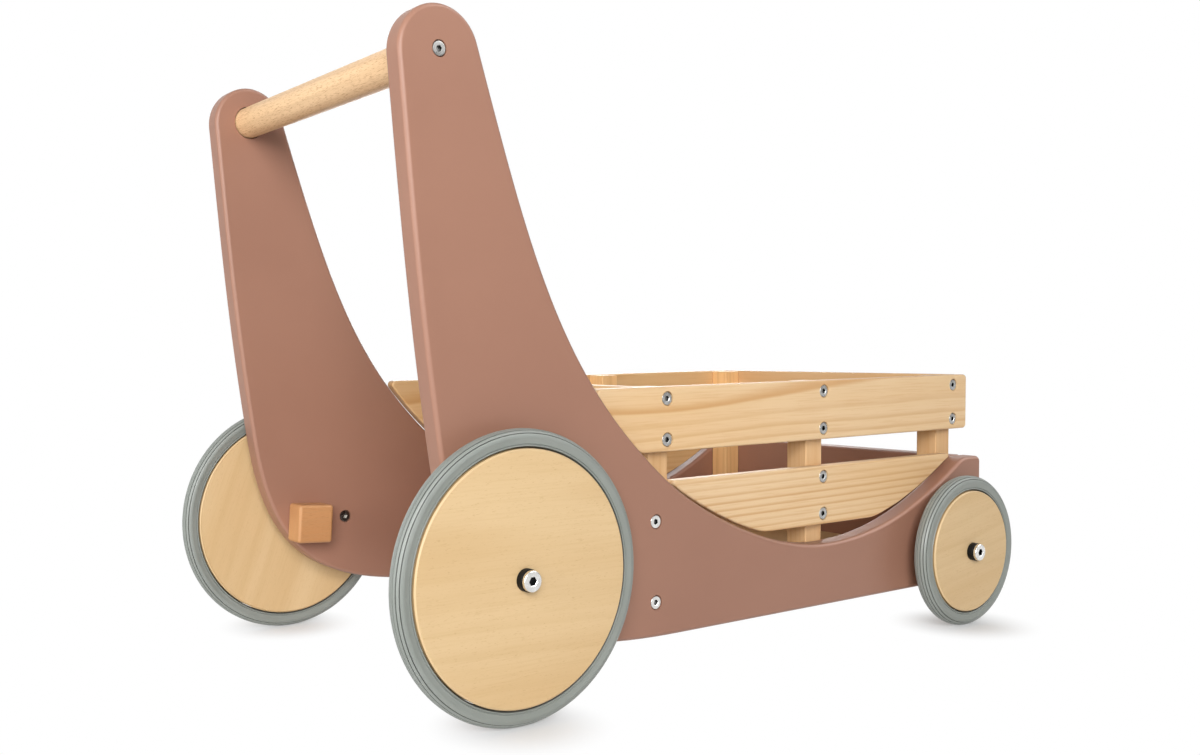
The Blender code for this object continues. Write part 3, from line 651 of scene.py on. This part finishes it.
screwShape = {
    "headR": 0.0044, "sink": 0.0004, "shankR": 0.0022, "socketFlats": 0.0035, "socketDepth": 0.0019,
    "socketTaper": 0.97, "socketWall": 0.9, "socketSoft": 0.00018, "rim": 0.00025, "pointR": 0.0006,
    "pointLength": 0.002, "holeGap": 0.0003, "holeCorners": 32, "ring": 0.0007, "ringDepth": 0.0018,
    "slatLength": 0.022, "panelLength": 0.04, "slatPitch": 0.028, "crossPitch": 0.013, "seed": 7,
    "corners": 48, "wallReach": 1.02, "wallTilt": 0.5,
    "rimSteps": ((2.0, 0.0), (0.6, 0.3), (0.0, 1.0)),  # inward and down, in rims
}


def screwProfile(length):
    s = screwShape
    top = -s["sink"]
    socket = s["socketFlats"] / 2
    soft = s["socketSoft"]
    neck = top - (s["headR"] - s["shankR"])
    return [
        (socket * s["socketTaper"], top - s["socketDepth"], "six"),
        (socket, top - s["socketDepth"] * s["socketWall"], "six"), (socket, top - soft, "six"),
        (socket + soft, top, "six"),
        *[(s["headR"] - s["rim"] * inward, top - s["rim"] * down) for inward, down in s["rimSteps"]],
        (s["shankR"], neck - s["rim"]), (s["shankR"], s["pointLength"] - length), (s["pointR"], -length),
    ]


def holeProfile(length):
    s = screwShape
    mouth = s["headR"] + s["ring"]
    hole = s["shankR"] + s["holeGap"]
    neck = hole - mouth - s["ringDepth"]
    return [(mouth, overcut), (mouth, -s["ringDepth"]), (hole, neck), (hole, -length - s["holeGap"])]


def holeCutter(name, seats, length):
    bm = bmesh.new()
    for seat, way in seats:
        addTurned(bm, seat, way, holeProfile(length), screwShape["holeCorners"])
    return newPiece(name, bm, brightSteel)


def seatPair(x, y, z, way, pitch):
    return [(Vector((x, y, z + pitch * half)), way) for half in (-0.5, 0.5)]


def slatSeats(sign):
    s = slatShape
    faceY = sign * (panelInY + s["thickness"])
    upperZ = s["topZ"] - s["height"] / 2
    lowerZ = upperZ - s["height"] - s["space"]
    seats = []
    for place, z in (("rear", upperZ), ("mid", upperZ), ("front", upperZ), ("mid", lowerZ)):
        x = middle(f"post_{place}_right").x
        seats += seatPair(x, faceY, z, Vector((0, sign, 0)), screwShape["slatPitch"])
    return seats


def crossSeats():
    z = slatShape["topZ"] - slatShape["height"] / 2
    faces = ((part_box("rear_slat")[0].x, -1), (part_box("front_slat")[1].x, 1))
    seats = []
    for side in sides:
        for x, ahead in faces:
            y = middle("post_rear_" + side).y
            seats += seatPair(x, y, z, Vector((ahead, 0, 0)), screwShape["crossPitch"])
    return seats


def nodeSeats(nodes, faceY, outward):
    seats = []
    for node in nodes:
        place = middle(node)
        sign = 1 if place.y > 0 else -1
        seats.append((Vector((place.x, sign * faceY, place.z)), Vector((0, sign * outward, 0))))
    return seats


def onBothSides(*nodes):
    return [f"{node}_{side}" for node in nodes for side in sides]


panelNodes = onBothSides("rear_panel_screw_low", "rear_panel_screw_high", "front_panel_screw_low",
                         "front_panel_screw_high")
handleNodes = onBothSides("handle_screw")
padNodes = onBothSides("pad_screw")
slatLength = screwShape["slatLength"]
panelLength = screwShape["panelLength"]
screwGroups = {  # seats, length, finish and the CAD nodes that make way
    "slatScrewsRight": (slatSeats(-1), slatLength, dullSteel, []),
    "slatScrewsLeft": (slatSeats(1), slatLength, dullSteel, []),
    "crossSlatScrews": (crossSeats(), slatLength, dullSteel, []),
    "panelScrews": (nodeSeats(panelNodes, panelOutY, 1), panelLength, brightSteel, panelNodes),
    "handleScrews": (nodeSeats(handleNodes, panelOutY, 1), panelLength, dullSteel, handleNodes),
    "padScrews": (nodeSeats(padNodes, panelInY, -1), slatLength, blackSteel, padNodes),
}
holes = {name: holeCutter(name + "Holes", *group[:2]) for name, group in screwGroups.items()}


def screwTree():
    tree = bpy.data.node_groups.new("screwSet", "GeometryNodeTree")
    tree.is_modifier = True
    kinds = {"Geometry": "Geometry", "Screw": "Object", "Seed": "Int", "Finish": "Material"}
    for label, kind in kinds.items():
        tree.interface.new_socket(label, in_out="INPUT", socket_type="NodeSocket" + kind)
    tree.interface.new_socket("Geometry", in_out="OUTPUT", socket_type="NodeSocketGeometry")
    given = tree.nodes.new("NodeGroupInput").outputs
    made = tree.nodes.new("NodeGroupOutput").inputs
    screw = addNode(tree, "GeometryNodeObjectInfo", {"Object": given["Screw"], "As Instance": True})
    way = addNode(tree, "GeometryNodeInputNamedAttribute", {"Name": "way"}, data_type="FLOAT_VECTOR")
    attribute = way.outputs["Attribute"]
    facing = result(tree, "FunctionNodeAlignRotationToVector", {"Vector": attribute}, axis="Z")
    limits = {2: 0.0, 3: tau, "Seed": given["Seed"]}
    turn = addNode(tree, "FunctionNodeRandomValue", limits, data_type="FLOAT")
    spin = result(tree, "ShaderNodeCombineXYZ", {"Z": turn.outputs[1]})
    about = result(tree, "FunctionNodeEulerToRotation", {"Euler": spin})
    pose = {"Rotation": facing, "Rotate By": about}
    spun = result(tree, "FunctionNodeRotateRotation", pose, rotation_space="LOCAL")
    placed = result(tree, "GeometryNodeInstanceOnPoints", {
        "Points": given["Geometry"], "Instance": screw.outputs["Geometry"], "Rotation": spun,
    })
    real = result(tree, "GeometryNodeRealizeInstances", {"Geometry": placed})
    painted = result(tree, "GeometryNodeSetMaterial", {"Geometry": real, "Material": given["Finish"]})
    feed(tree, made["Geometry"], painted)
    return tree


screwSet = screwTree()


def screwPiece(name, seats, template, seed, finish):
    mesh = bpy.data.meshes.new(name)
    mesh.from_pydata([seat for seat, way in seats], [], [])
    ways = mesh.attributes.new("way", "FLOAT_VECTOR", "POINT")
    for item, (seat, way) in zip(ways.data, seats):
        item.vector = way
    piece = addObject(name, mesh)
    modifier = piece.modifiers.new("screws", "NODES")
    modifier.node_group = screwSet
    values = {"Screw": template, "Seed": seed, "Finish": finish}
    for item in screwSet.interface.items_tree:
        if item.in_out == "INPUT" and item.name in values:
            modifier[item.identifier] = values[item.name]
    plainMesh(piece)
    return smooth(piece)


def onSocketWall(face):
    s = screwShape
    inside = face.center.xy.length < s["socketFlats"] / 2 / cos(pi / 6) * s["wallReach"]
    upright = abs(face.normal.z) < s["wallTilt"]
    return inside and upright and face.center.z > -s["sink"] - s["socketDepth"]


templates = {}
for length in (slatLength, panelLength):
    templates[length] = turnedPiece("screwTemplate", Vector(), Vector((0, 0, 1)), screwProfile(length),
                                    screwShape["corners"], brightSteel)
    # The socket walls take the painted shade, or on the pad screws the painted highlight.
    markFaces(templates[length], "recess", onSocketWall)
for order, (name, (seats, length, finish, nodes)) in enumerate(screwGroups.items()):
    made = screwPiece(name, seats, templates[length], screwShape["seed"] + order, finish)
    settle(made, "steel", *nodes)
for template in templates.values():
    bpy.data.objects.remove(template)
print("screws:", sum(len(group[0]) for group in screwGroups.values()))


# Handle bar, let into the panels

barShape = {"gap": 0.0007, "socket": 0.008, "chamfer": 0.0008, "corners": 96}
across, barEnd, barR = halfSize("handle_bar")
barEdge = barShape["chamfer"]
barCentre = onCentreLine("handle_bar")
bar = turnedPiece("handleBar", barCentre, Vector((0, 1, 0)), [
    (barR - barEdge, -barEnd), (barR, barEdge - barEnd), (barR, 0.0), (barR, barEnd - barEdge),
    (barR - barEdge, barEnd),
], barShape["corners"], beechBar)
settle(shape(bar, cutters=[holes["handleScrews"]]), "beech", "handle_bar")


# Axle bolts and hubs, and the holes in the side panels for the bar and the bolts

hubShape = {
    "bushR": 0.006, "flangeR": 0.007, "flangeT": 0.0044, "flangeRound": 0.0007, "flangeSteps": 5,
    "headR": 0.0065, "headT": 0.0025, "headRound": 0.0008, "headSteps": 6, "headSoft": 0.0003,
    "socketFlats": 0.005, "socketDepth": 0.002, "socketTaper": 0.6, "socketTip": 0.0004, "boltR": 0.004,
    "boltTip": 0.0008, "gap": 0.0003, "spacerR": 0.009, "spacerRound": 0.0006, "nutFlats": 0.013,
    "nutFace": 0.94, "nutSoft": 0.0006, "darkBelow": 0.001, "darkTop": 0.0002, "darkShare": 0.6,
    "holeCorners": 48, "corners": 96,
}
boreR = hubShape["boltR"] + hubShape["gap"]


def tubeCutter(name, spots, radius, start, end, corners):
    bm = bmesh.new()
    for sign in sides.values():
        for spot in spots:
            addTurned(bm, spot, Vector((0, sign, 0)), [(radius, start), (radius, end)], corners)
    return newPiece(name, bm, brightSteel)


barSockets = tubeCutter("barSockets", [barCentre], barR + barShape["gap"], panelInY - overcut,
                        panelInY + barShape["socket"], barShape["corners"])
axleHoles = tubeCutter("axleHoles", axleSpots.values(), boreR, panelInY - overcut, panelOutY + overcut,
                       hubShape["holeCorners"])


# Side panels, slats, posts, cross panels and floor

blockEdges = {  # width of the soft edge and its steps
    "panel": (0.002, 5), "slat": (0.0014, 4), "post": (0.0009, 3), "floor": (0.0006, 3), "batten": (0.001, 3),
}
plyEdgeTilt = 0.93  # faces turned further than this from the veneer show layers


def blockPiece(name, node, edges, material, slotName, *cutters):
    piece = shape(boxPiece(name, *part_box(node), material), *edges, cutters)
    return settle(piece, slotName, node)


def markEdges(piece, axis):
    markFaces(piece, "plyEdge", lambda face: abs(face.normal[axis]) < plyEdgeTilt)


postWoods = {"right": pineMuted, "left": pineUpright}
slatWoods = {"right": (pineLong, pineLower), "left": (pineLeft, pineLeft)}
panelHoles = holes["panelScrews"]
crossHoles = holes["crossSlatScrews"]
sideHoles = [barSockets, axleHoles, holes["handleScrews"], panelHoles, holes["padScrews"]]
for side, sign in sides.items():
    label = side.capitalize()
    panel = platePiece("sidePanel" + label, panelOutline(), sign * panelInY, sign * panelOutY, mauvePaint)
    shape(panel, panelShape["edge"], panelShape["edgeSteps"], sideHoles)
    settle(panel, "paint", "side_panel_" + side)
    slatHoles = holes["slatScrews" + label]
    faceY = sign * (panelInY + slatShape["thickness"])
    outlines = (upperSlatOutline(), lowerSlatOutline())
    for level, outline, wood in zip(("upper", "lower"), outlines, slatWoods[side]):
        slat = platePiece(f"{level}Slat{label}", outline, sign * panelInY, faceY, wood)
        shape(slat, slatShape["edge"], slatShape["edgeSteps"], [slatHoles])
        settle(slat, "pine", f"{level}_slat_{side}")
    for place in ("rear", "mid", "front"):
        cutters = [slatHoles] if place == "mid" else [slatHoles, crossHoles]
        node = f"post_{place}_{side}"
        blockPiece(f"{place}Post{label}", node, blockEdges["post"], postWoods[side], "pine", *cutters)
    blockPiece("floorBatten" + label, "floor_batten_" + side, blockEdges["batten"], pineLong, "pine")
for place in ("rear", "front"):
    blockPiece(place + "Panel", place + "_panel", blockEdges["panel"], mauvePaint, "paint", panelHoles)
    blockPiece(place + "Slat", place + "_slat", blockEdges["slat"], pineAcross, "pine", crossHoles)
markEdges(blockPiece("crateFloor", "crate_floor", blockEdges["floor"], birchFloor, "plywood"), 2)
print("body: panels, slats, posts and floor")


# Wheels, turned about their axles

# The groove depth share and the seat width in this table set where the tyre's painted shade goes.
tyreShape = {
    "crownR": 0.0055, "crownSteps": 58, "lipW": 0.0017, "lipDrop": 0.0006, "wallGap": 0.0008,
    "wallTuck": 0.0005, "wallSteps": 8, "seatGap": 0.0003, "grooves": (0.0013, 0.0037, 0.0061),
    "grooveW": 0.0007, "grooveDepth": 0.0006, "grooveSoft": 0.00025, "darkShare": 0.35, "darkSeat": 0.0012,
    "corners": 160,
    "lipIn": ((0.0, 0.0026), (0.0002, 0.0016), (0.0006, 0.0006), (0.001, 0.0)),  # outward and down
    "lipOut": ((-0.0002, 0.0), (0.0, 0.0002), (0.0003, 0.0007), (0.0006, 0.0005)),
}
discShape = {
    "rim": 0.0011, "rimSteps": ((1.0, 0.0), (0.8, 0.1), (0.16, 0.62), (0.0, 1.0)), "boreGap": 0.0003,
    "boreSoft": 0.0003, "corners": 192, "veneerOut": 0.1, "veneerUp": -0.13,
    "veneerTurns": {"rearRight": 0, "rearLeft": 68, "frontRight": 8, "frontLeft": 115},
}


def mirrored(points):
    return points + [(radius, -along) for radius, along in reversed(points)]


def fromAxle(face, axle):
    return Vector((face.center.x - axle.x, face.center.z - axle.z)).length


def tyreProfile(tyreR, seatR, halfW):
    t = tyreShape
    lipY = halfW - t["lipDrop"]
    lipEnd = seatR + t["lipW"]
    crownR = t["crownR"]
    flat = halfW - crownR
    wallStart = lipEnd + t["wallGap"]
    wallEnd = tyreR - crownR
    side = [(seatR + out, lipY - down) for out, down in t["lipIn"]]
    side += [(lipEnd + out, lipY - down) for out, down in t["lipOut"]]
    for i in range(t["wallSteps"]):
        share = i / t["wallSteps"]
        side.append((wallStart + (wallEnd - wallStart) * share, halfW - t["wallTuck"] * cos(share * pi / 2)))
    for i in range(t["crownSteps"] + 1):
        turn = pi / 2 * (1 - i / t["crownSteps"])
        reach = flat + crownR * turn
        cut = sum(grooveDip(abs(reach - groove)) for groove in t["grooves"])
        side.append((wallEnd + (crownR - cut) * cos(turn), flat + (crownR - cut) * sin(turn)))
    return mirrored(side)


def grooveDip(away):
    t = tyreShape
    return t["grooveDepth"] * min(max((t["grooveW"] / 2 - away) / t["grooveSoft"], 0.0), 1.0)


# Faces down in the grooves and on the seat by the disc get the painted shade.
def inTyreShade(face, centre, tyreR, discR, halfW):
    t = tyreShape
    radius = fromAxle(face, centre)
    along = abs(face.center.y - centre.y)
    fromCrown = Vector((radius - (tyreR - t["crownR"]), max(along - halfW + t["crownR"], 0.0)))
    sunk = t["crownR"] - fromCrown.length
    grooved = radius > tyreR - t["crownR"] and sunk > t["grooveDepth"] * t["darkShare"]
    return grooved or radius < discR + t["darkSeat"]


def discProfile(discR, halfT):
    d = discShape
    bore = hubShape["bushR"] + d["boreGap"]
    rim = [(discR - d["rim"] * inward, halfT - d["rim"] * down) for inward, down in d["rimSteps"]]
    return [(bore, -halfT), (bore, halfT - d["boreSoft"]), (bore + d["boreSoft"], halfT), *mirrored(rim)]


def bushProfile(halfT):
    h = hubShape
    inEnd = h["gap"] - halfT
    inFace = halfT + h["gap"]
    outFace = inFace + h["flangeT"]
    soft = h["flangeRound"]
    outerEdge = roundCorner((h["flangeR"] - soft, outFace - soft), soft, 0.0, pi / 2, h["flangeSteps"])
    return [(boreR, inEnd), (h["bushR"], inEnd), (h["bushR"], inFace), (h["flangeR"], inFace), *outerEdge,
            (boreR, outFace)]


def boltProfile(headY, tipY):
    h = hubShape
    top = headY + h["headT"]
    soft = h["headRound"]
    edge = h["headSoft"]
    tip = h["boltTip"]
    socket = h["socketFlats"] / 2
    floor = top - h["socketDepth"]
    crown = roundCorner((h["headR"] - soft, top - soft), soft, pi / 2, 0.0, h["headSteps"])
    return [
        (socket * h["socketTaper"], floor - h["socketTip"], "six"), (socket, floor, "six"),
        (socket, top - edge, "six"), (socket + edge, top, "six"), *crown, (h["headR"], headY + edge),
        (h["headR"] - edge, headY), (h["boltR"], headY), (h["boltR"], tipY + tip), (h["boltR"] - tip, tipY),
    ]


def tubeProfile(inner, outer, start, end, soft):
    outside = [(outer - soft, start), (outer, start + soft), (outer, end - soft), (outer - soft, end)]
    return [(inner, start), *outside, (inner, end)]


def turnedPart(name, spot, sign, profile, corners, finish, slotName, node, body="frame", hollow=True):
    piece = smooth(turnedPiece(name, spot, Vector((0, sign, 0)), profile, corners, finish, hollow))
    return settle(piece, slotName, node, body=body)


def wheelPieces(place, side, sign):
    label = place + side.capitalize()
    across, halfW, tyreR = halfSize(f"{place}_tyre_{side}")
    across, halfT, discR = halfSize(f"{place}_disc_{side}")
    centre = middle(f"{place}_tyre_{side}")
    shift = (0.0, -sign * discShape["veneerOut"], discShape["veneerUp"])
    turn = (0.0, radians(discShape["veneerTurns"][label]), 0.0)
    veneer = woodFinish(label + "Veneer", birchLook, shift, turn, "Y")
    profile = tyreProfile(tyreR, discR + tyreShape["seatGap"], halfW)
    made = {}
    for kind, *details in (
        ("tyre", profile, tyreShape["corners"], greyRubber, "rubber"),
        ("disc", discProfile(discR, halfT), discShape["corners"], veneer, "plywood"),
        ("bush", bushProfile(halfT), hubShape["corners"], blackPlastic, "plastic"),
    ):
        node = f"{place}_{kind}_{side}"
        body = f"{place}_wheel_{side}"
        made[kind] = turnedPart(label + kind.capitalize(), centre, sign, *details, node, body)
    markFaces(made["tyre"], "recess", lambda face: inTyreShade(face, centre, tyreR, discR, halfW))
    markEdges(made["disc"], 1)


def reachY(node):
    return sorted(abs(corner.y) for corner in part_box(node))


def axlePieces(place, side, sign, spot):
    label = place + side.capitalize()
    h = hubShape
    tipY, topY = reachY(f"{place}_axle_bolt_{side}")
    bolt = turnedPart(label + "Bolt", spot, sign, boltProfile(topY - h["headT"], tipY), h["corners"],
                      brightSteel, "steel", f"{place}_axle_bolt_{side}", hollow=False)
    # A painted shade inside the bolt head's socket.
    shadeLow = topY - h["socketDepth"] - h["darkBelow"]
    shadeHigh = topY - h["darkTop"]
    shadeR = h["socketFlats"] * h["darkShare"]
    markFaces(bolt, "recess", lambda face: shadeLow < abs(face.center.y) < shadeHigh
              and fromAxle(face, spot) < shadeR)
    node = f"{place}_spacer_{side}"
    tube = tubeProfile(boreR, h["spacerR"], *reachY(node), h["spacerRound"])
    turnedPart(label + "Spacer", spot, sign, tube, h["corners"], blackPlastic, "plastic", node)


def nutPiece(side, sign, spot):
    h = hubShape
    node = "front_axle_nut_" + side
    start, end = reachY(node)
    flat = h["nutFlats"] / 2
    face = flat * h["nutFace"]
    soft = h["nutSoft"]
    profile = [(boreR, start), (face, start), (flat, start + soft, "six"), (flat, end - soft, "six"),
               (face, end), (boreR, end)]
    turnedPart("frontNut" + side.capitalize(), spot, sign, profile, h["corners"], brightSteel, "steel", node)


padShape = {"soft": 0.0006, "corners": 64}


def padPiece(side, sign):
    node = "friction_pad_" + side
    padR = halfSize(node).z
    start, end = reachY(node)
    soft = padShape["soft"]
    profile = [(padR, start), (padR, end - soft), (padR - soft, end)]
    pad = turnedPiece("frictionPad" + side.capitalize(), onCentreLine(node), Vector((0, sign, 0)), profile,
                      padShape["corners"], greyFelt)
    settle(shape(pad, cutters=[holes["padScrews"]]), "felt", node)


knobShape = {
    "width": 0.03, "depth": 0.02, "edge": 0.0025, "edgeSteps": 6, "turn": radians(4), "gap": 0.0003,
    "insertR": 0.006, "insertLength": 0.013, "insertSoft": 0.0004, "boreCorners": 48, "insertCorners": 64,
}


def knobPieces(side, sign, spot):
    k = knobShape
    label = side.capitalize()
    body = "brake_knob_" + side
    faceY = reachY("knob_" + side)[1]
    half = k["width"] / 2
    low, high = sorted((sign * faceY, sign * (faceY - k["depth"])))
    knob = boxPiece("knob" + label, Vector((-half, low, -half)), Vector((half, high, half)), beechKnob)
    knob.data.transform(Matrix.Translation(spot) @ Matrix.Rotation(k["turn"], 4, "Y"))
    start = Vector((spot.x, sign * faceY, spot.z))
    holeR = k["insertR"] + k["gap"]
    hole = [(holeR, -overcut), (holeR, k["insertLength"] + k["gap"])]
    bore = turnedPiece("knobBore", start, Vector((0, -sign, 0)), hole, k["boreCorners"], brightSteel)
    settle(shape(knob, k["edge"], k["edgeSteps"], [bore]), "beech", "knob_" + side, body=body)
    bpy.data.objects.remove(bore)
    tube = tubeProfile(hubShape["boltR"] + k["gap"], k["insertR"], 0.0, k["insertLength"], k["insertSoft"])
    turnedPart("knobInsert" + label, start, -sign, tube, k["insertCorners"], paleBrass, "brass",
               "knob_insert_" + side, body)


for side, sign in sides.items():
    for place, spot in axleSpots.items():
        wheelPieces(place, side, sign)
        axlePieces(place, side, sign, spot)
    nutPiece(side, sign, axleSpots["front"])
    padPiece(side, sign)
    knobPieces(side, sign, axleSpots["rear"])
for cutter in [*holes.values(), barSockets, axleHoles]:
    bpy.data.objects.remove(cutter)
print("wheels, axles and knobs")


# Studio: a white floor with a painted soft shadow under the wheels, where a dimmer floor also lets the real
# cast shadow show, a key light, an edge light and a fill light

studio = {
    "brightSide": (-0.72, 0.38, 0.58), "ambientDim": 0.04, "ambientBright": 0.08, "ambientTurn": (-0.6, 0.8),
    "mirrorDim": 0.16, "mirrorBright": 1.0, "mirrorTurn": (-0.3, 0.7), "mirrorRise": (-0.05, 0.4),
    "sheenSide": (0.6, -0.45, 0.66), "mirrorSheen": 5.0, "sheenTurn": (0.9, 0.98), "floorSize": 30.0,
    "floorBounce": 0.8, "floorShade": 0.58, "floorGlow": 0.24, "shadowReach": 0.058, "shadowCore": 0.004,
    "shadowLength": 0.95, "aim": (0.0, 0.0, 0.15),
    "keyPlace": (-1.6, -2.1, 1.05), "keyPower": 80.0, "keySize": 1.6,
    "edgePlace": (-2.3, -0.4, 0.6), "edgePower": 18.0, "edgeSize": 0.9,
    "fillPlace": (1.6, 2.2, 0.95), "fillPower": 58.0, "fillSize": 1.8,
}


def areaLight(name):
    place = Vector(studio[name + "Place"])
    light = bpy.data.lights.new(name, "AREA")
    light.shape = "DISK"
    light.size = studio[name + "Size"]
    light.energy = studio[name + "Power"]
    lamp = addObject(name, light)
    lamp.location = place
    lamp.rotation_euler = (Vector(studio["aim"]) - place).to_track_quat("-Z", "Y").to_euler()
    return lamp


def rayKinds(tree):
    path = addNode(tree, "ShaderNodeLightPath").outputs
    mirror = path["Is Glossy Ray"]
    shown = calc(tree, "MAXIMUM", path["Is Camera Ray"], path["Is Transmission Ray"])
    return shown, mirror, calc(tree, "MAXIMUM", shown, mirror)


def paintedShadowMask(tree):
    place = addNode(tree, "ShaderNodeTexCoord").outputs["Object"]
    mask = 0.0
    for wheel in onBothSides("rear_tyre", "front_tyre"):
        offset = vectorCalc(tree, "SUBTRACT", place, (*middle(wheel).xy, 0.0))
        away = vectorCalc(tree, "LENGTH", stretch(tree, offset, (studio["shadowLength"], 1.0, 1.0)))
        near = ramp(tree, away, studio["shadowCore"], studio["shadowReach"], 1.0, 0.0)
        mask = calc(tree, "MAXIMUM", near, mask)
    return mask


def diffuse(tree, value):
    return result(tree, "ShaderNodeBsdfDiffuse", {"Color": (value, value, value, 1)})


def emission(tree, strength):
    return result(tree, "ShaderNodeEmission", {"Strength": strength})


def mixShaders(tree, factor, first, second):
    return result(tree, "ShaderNodeMixShader", {0: factor, 1: first, 2: second})


def floorFinish():
    material = bpy.data.materials.new("studioFloor")
    material.use_nodes = True
    tree = material.node_tree
    tree.nodes.clear()
    # Near the wheels the floor is a grey diffuse with a weaker glow. This is a painted soft shadow, darker
    # still where real shadow falls. Elsewhere the floor glows plain white.
    shade = diffuse(tree, studio["floorShade"])
    lit = result(tree, "ShaderNodeAddShader", {0: shade, 1: emission(tree, studio["floorGlow"])})
    seen = mixShaders(tree, paintedShadowMask(tree), emission(tree, 1.0), lit)
    mixed = mixShaders(tree, rayKinds(tree)[2], diffuse(tree, studio["floorBounce"]), seen)
    addNode(tree, "ShaderNodeOutputMaterial", {"Surface": mixed})
    return material


def whiteWorld():
    s = studio
    world = bpy.data.worlds.new("studioWorld")
    world.use_nodes = True
    tree = world.node_tree
    shader = tree.nodes["Background"]
    shader.inputs["Color"].default_value = (1, 1, 1, 1)
    way = addNode(tree, "ShaderNodeTexCoord").outputs["Generated"]
    height = addNode(tree, "ShaderNodeSeparateXYZ", {0: way}).outputs["Z"]
    facing = vectorCalc(tree, "DOT_PRODUCT", way, Vector(s["brightSide"]).normalized())
    gleam = vectorCalc(tree, "DOT_PRODUCT", way, Vector(s["sheenSide"]).normalized())
    ambient = ramp(tree, facing, *s["ambientTurn"], s["ambientDim"], s["ambientBright"])
    overhead = ramp(tree, height, *s["mirrorRise"])
    lightSide = calc(tree, "MAXIMUM", ramp(tree, facing, *s["mirrorTurn"]), overhead)
    sheen = ramp(tree, gleam, *s["sheenTurn"], 0.0, s["mirrorSheen"])
    glossy = ramp(tree, lightSide, 0.0, 1.0, s["mirrorDim"], s["mirrorBright"])
    shown, mirror, either = rayKinds(tree)
    lit = calc(tree, "MULTIPLY_ADD", ambient, calc(tree, "SUBTRACT", 1.0, either), shown)
    strength = calc(tree, "MULTIPLY_ADD", calc(tree, "ADD", glossy, sheen), mirror, lit)
    feed(tree, shader.inputs["Strength"], strength)
    return world


floorMesh = bmesh.new()
bmesh.ops.create_grid(floorMesh, x_segments=1, y_segments=1, size=studio["floorSize"])
floor = newPiece("studioFloor", floorMesh, floorFinish())
lamps = [areaLight(name) for name in ("key", "edge", "fill")]
scene = bpy.context.scene
scene.world = whiteWorld()
scene.view_settings.view_transform = "Standard"


# Camera at the photo's angle

view = {  # the focal length, the centre and the frame are in pixels
    "place": (-0.63645, -0.71673, 0.23147), "yaw": 0.5629867, "pitch": 0.0514633, "roll": -0.0118872,
    "focal": 1179.341, "centreX": 412.817, "centreY": 403.777, "width": 1200.0, "height": 755.0,
    "sensor": 36.0, "nearest": 0.02,
}


def photoCamera():
    v = view
    data = bpy.data.cameras.new("photoCamera")
    data.sensor_width = v["sensor"]
    data.lens = v["focal"] / v["width"] * v["sensor"]
    data.shift_x = (v["width"] / 2 - v["centreX"]) / v["width"]
    data.shift_y = (v["centreY"] - v["height"] / 2) / v["width"]
    data.clip_start = v["nearest"]
    level = Vector((sin(v["yaw"]), cos(v["yaw"]), 0))
    aside = Vector((cos(v["yaw"]), -sin(v["yaw"]), 0))
    ahead = level * cos(v["pitch"]) - Vector((0, 0, sin(v["pitch"])))
    above = aside.cross(ahead)
    right = aside * cos(v["roll"]) + above * sin(v["roll"])
    up = above * cos(v["roll"]) - aside * sin(v["roll"])
    camera = addObject("photoCamera", data)
    turn = Matrix((right, up, -ahead)).transposed().to_4x4()
    camera.matrix_world = Matrix.Translation(v["place"]) @ turn
    return camera


scene.camera = photoCamera()
print("studio and camera")
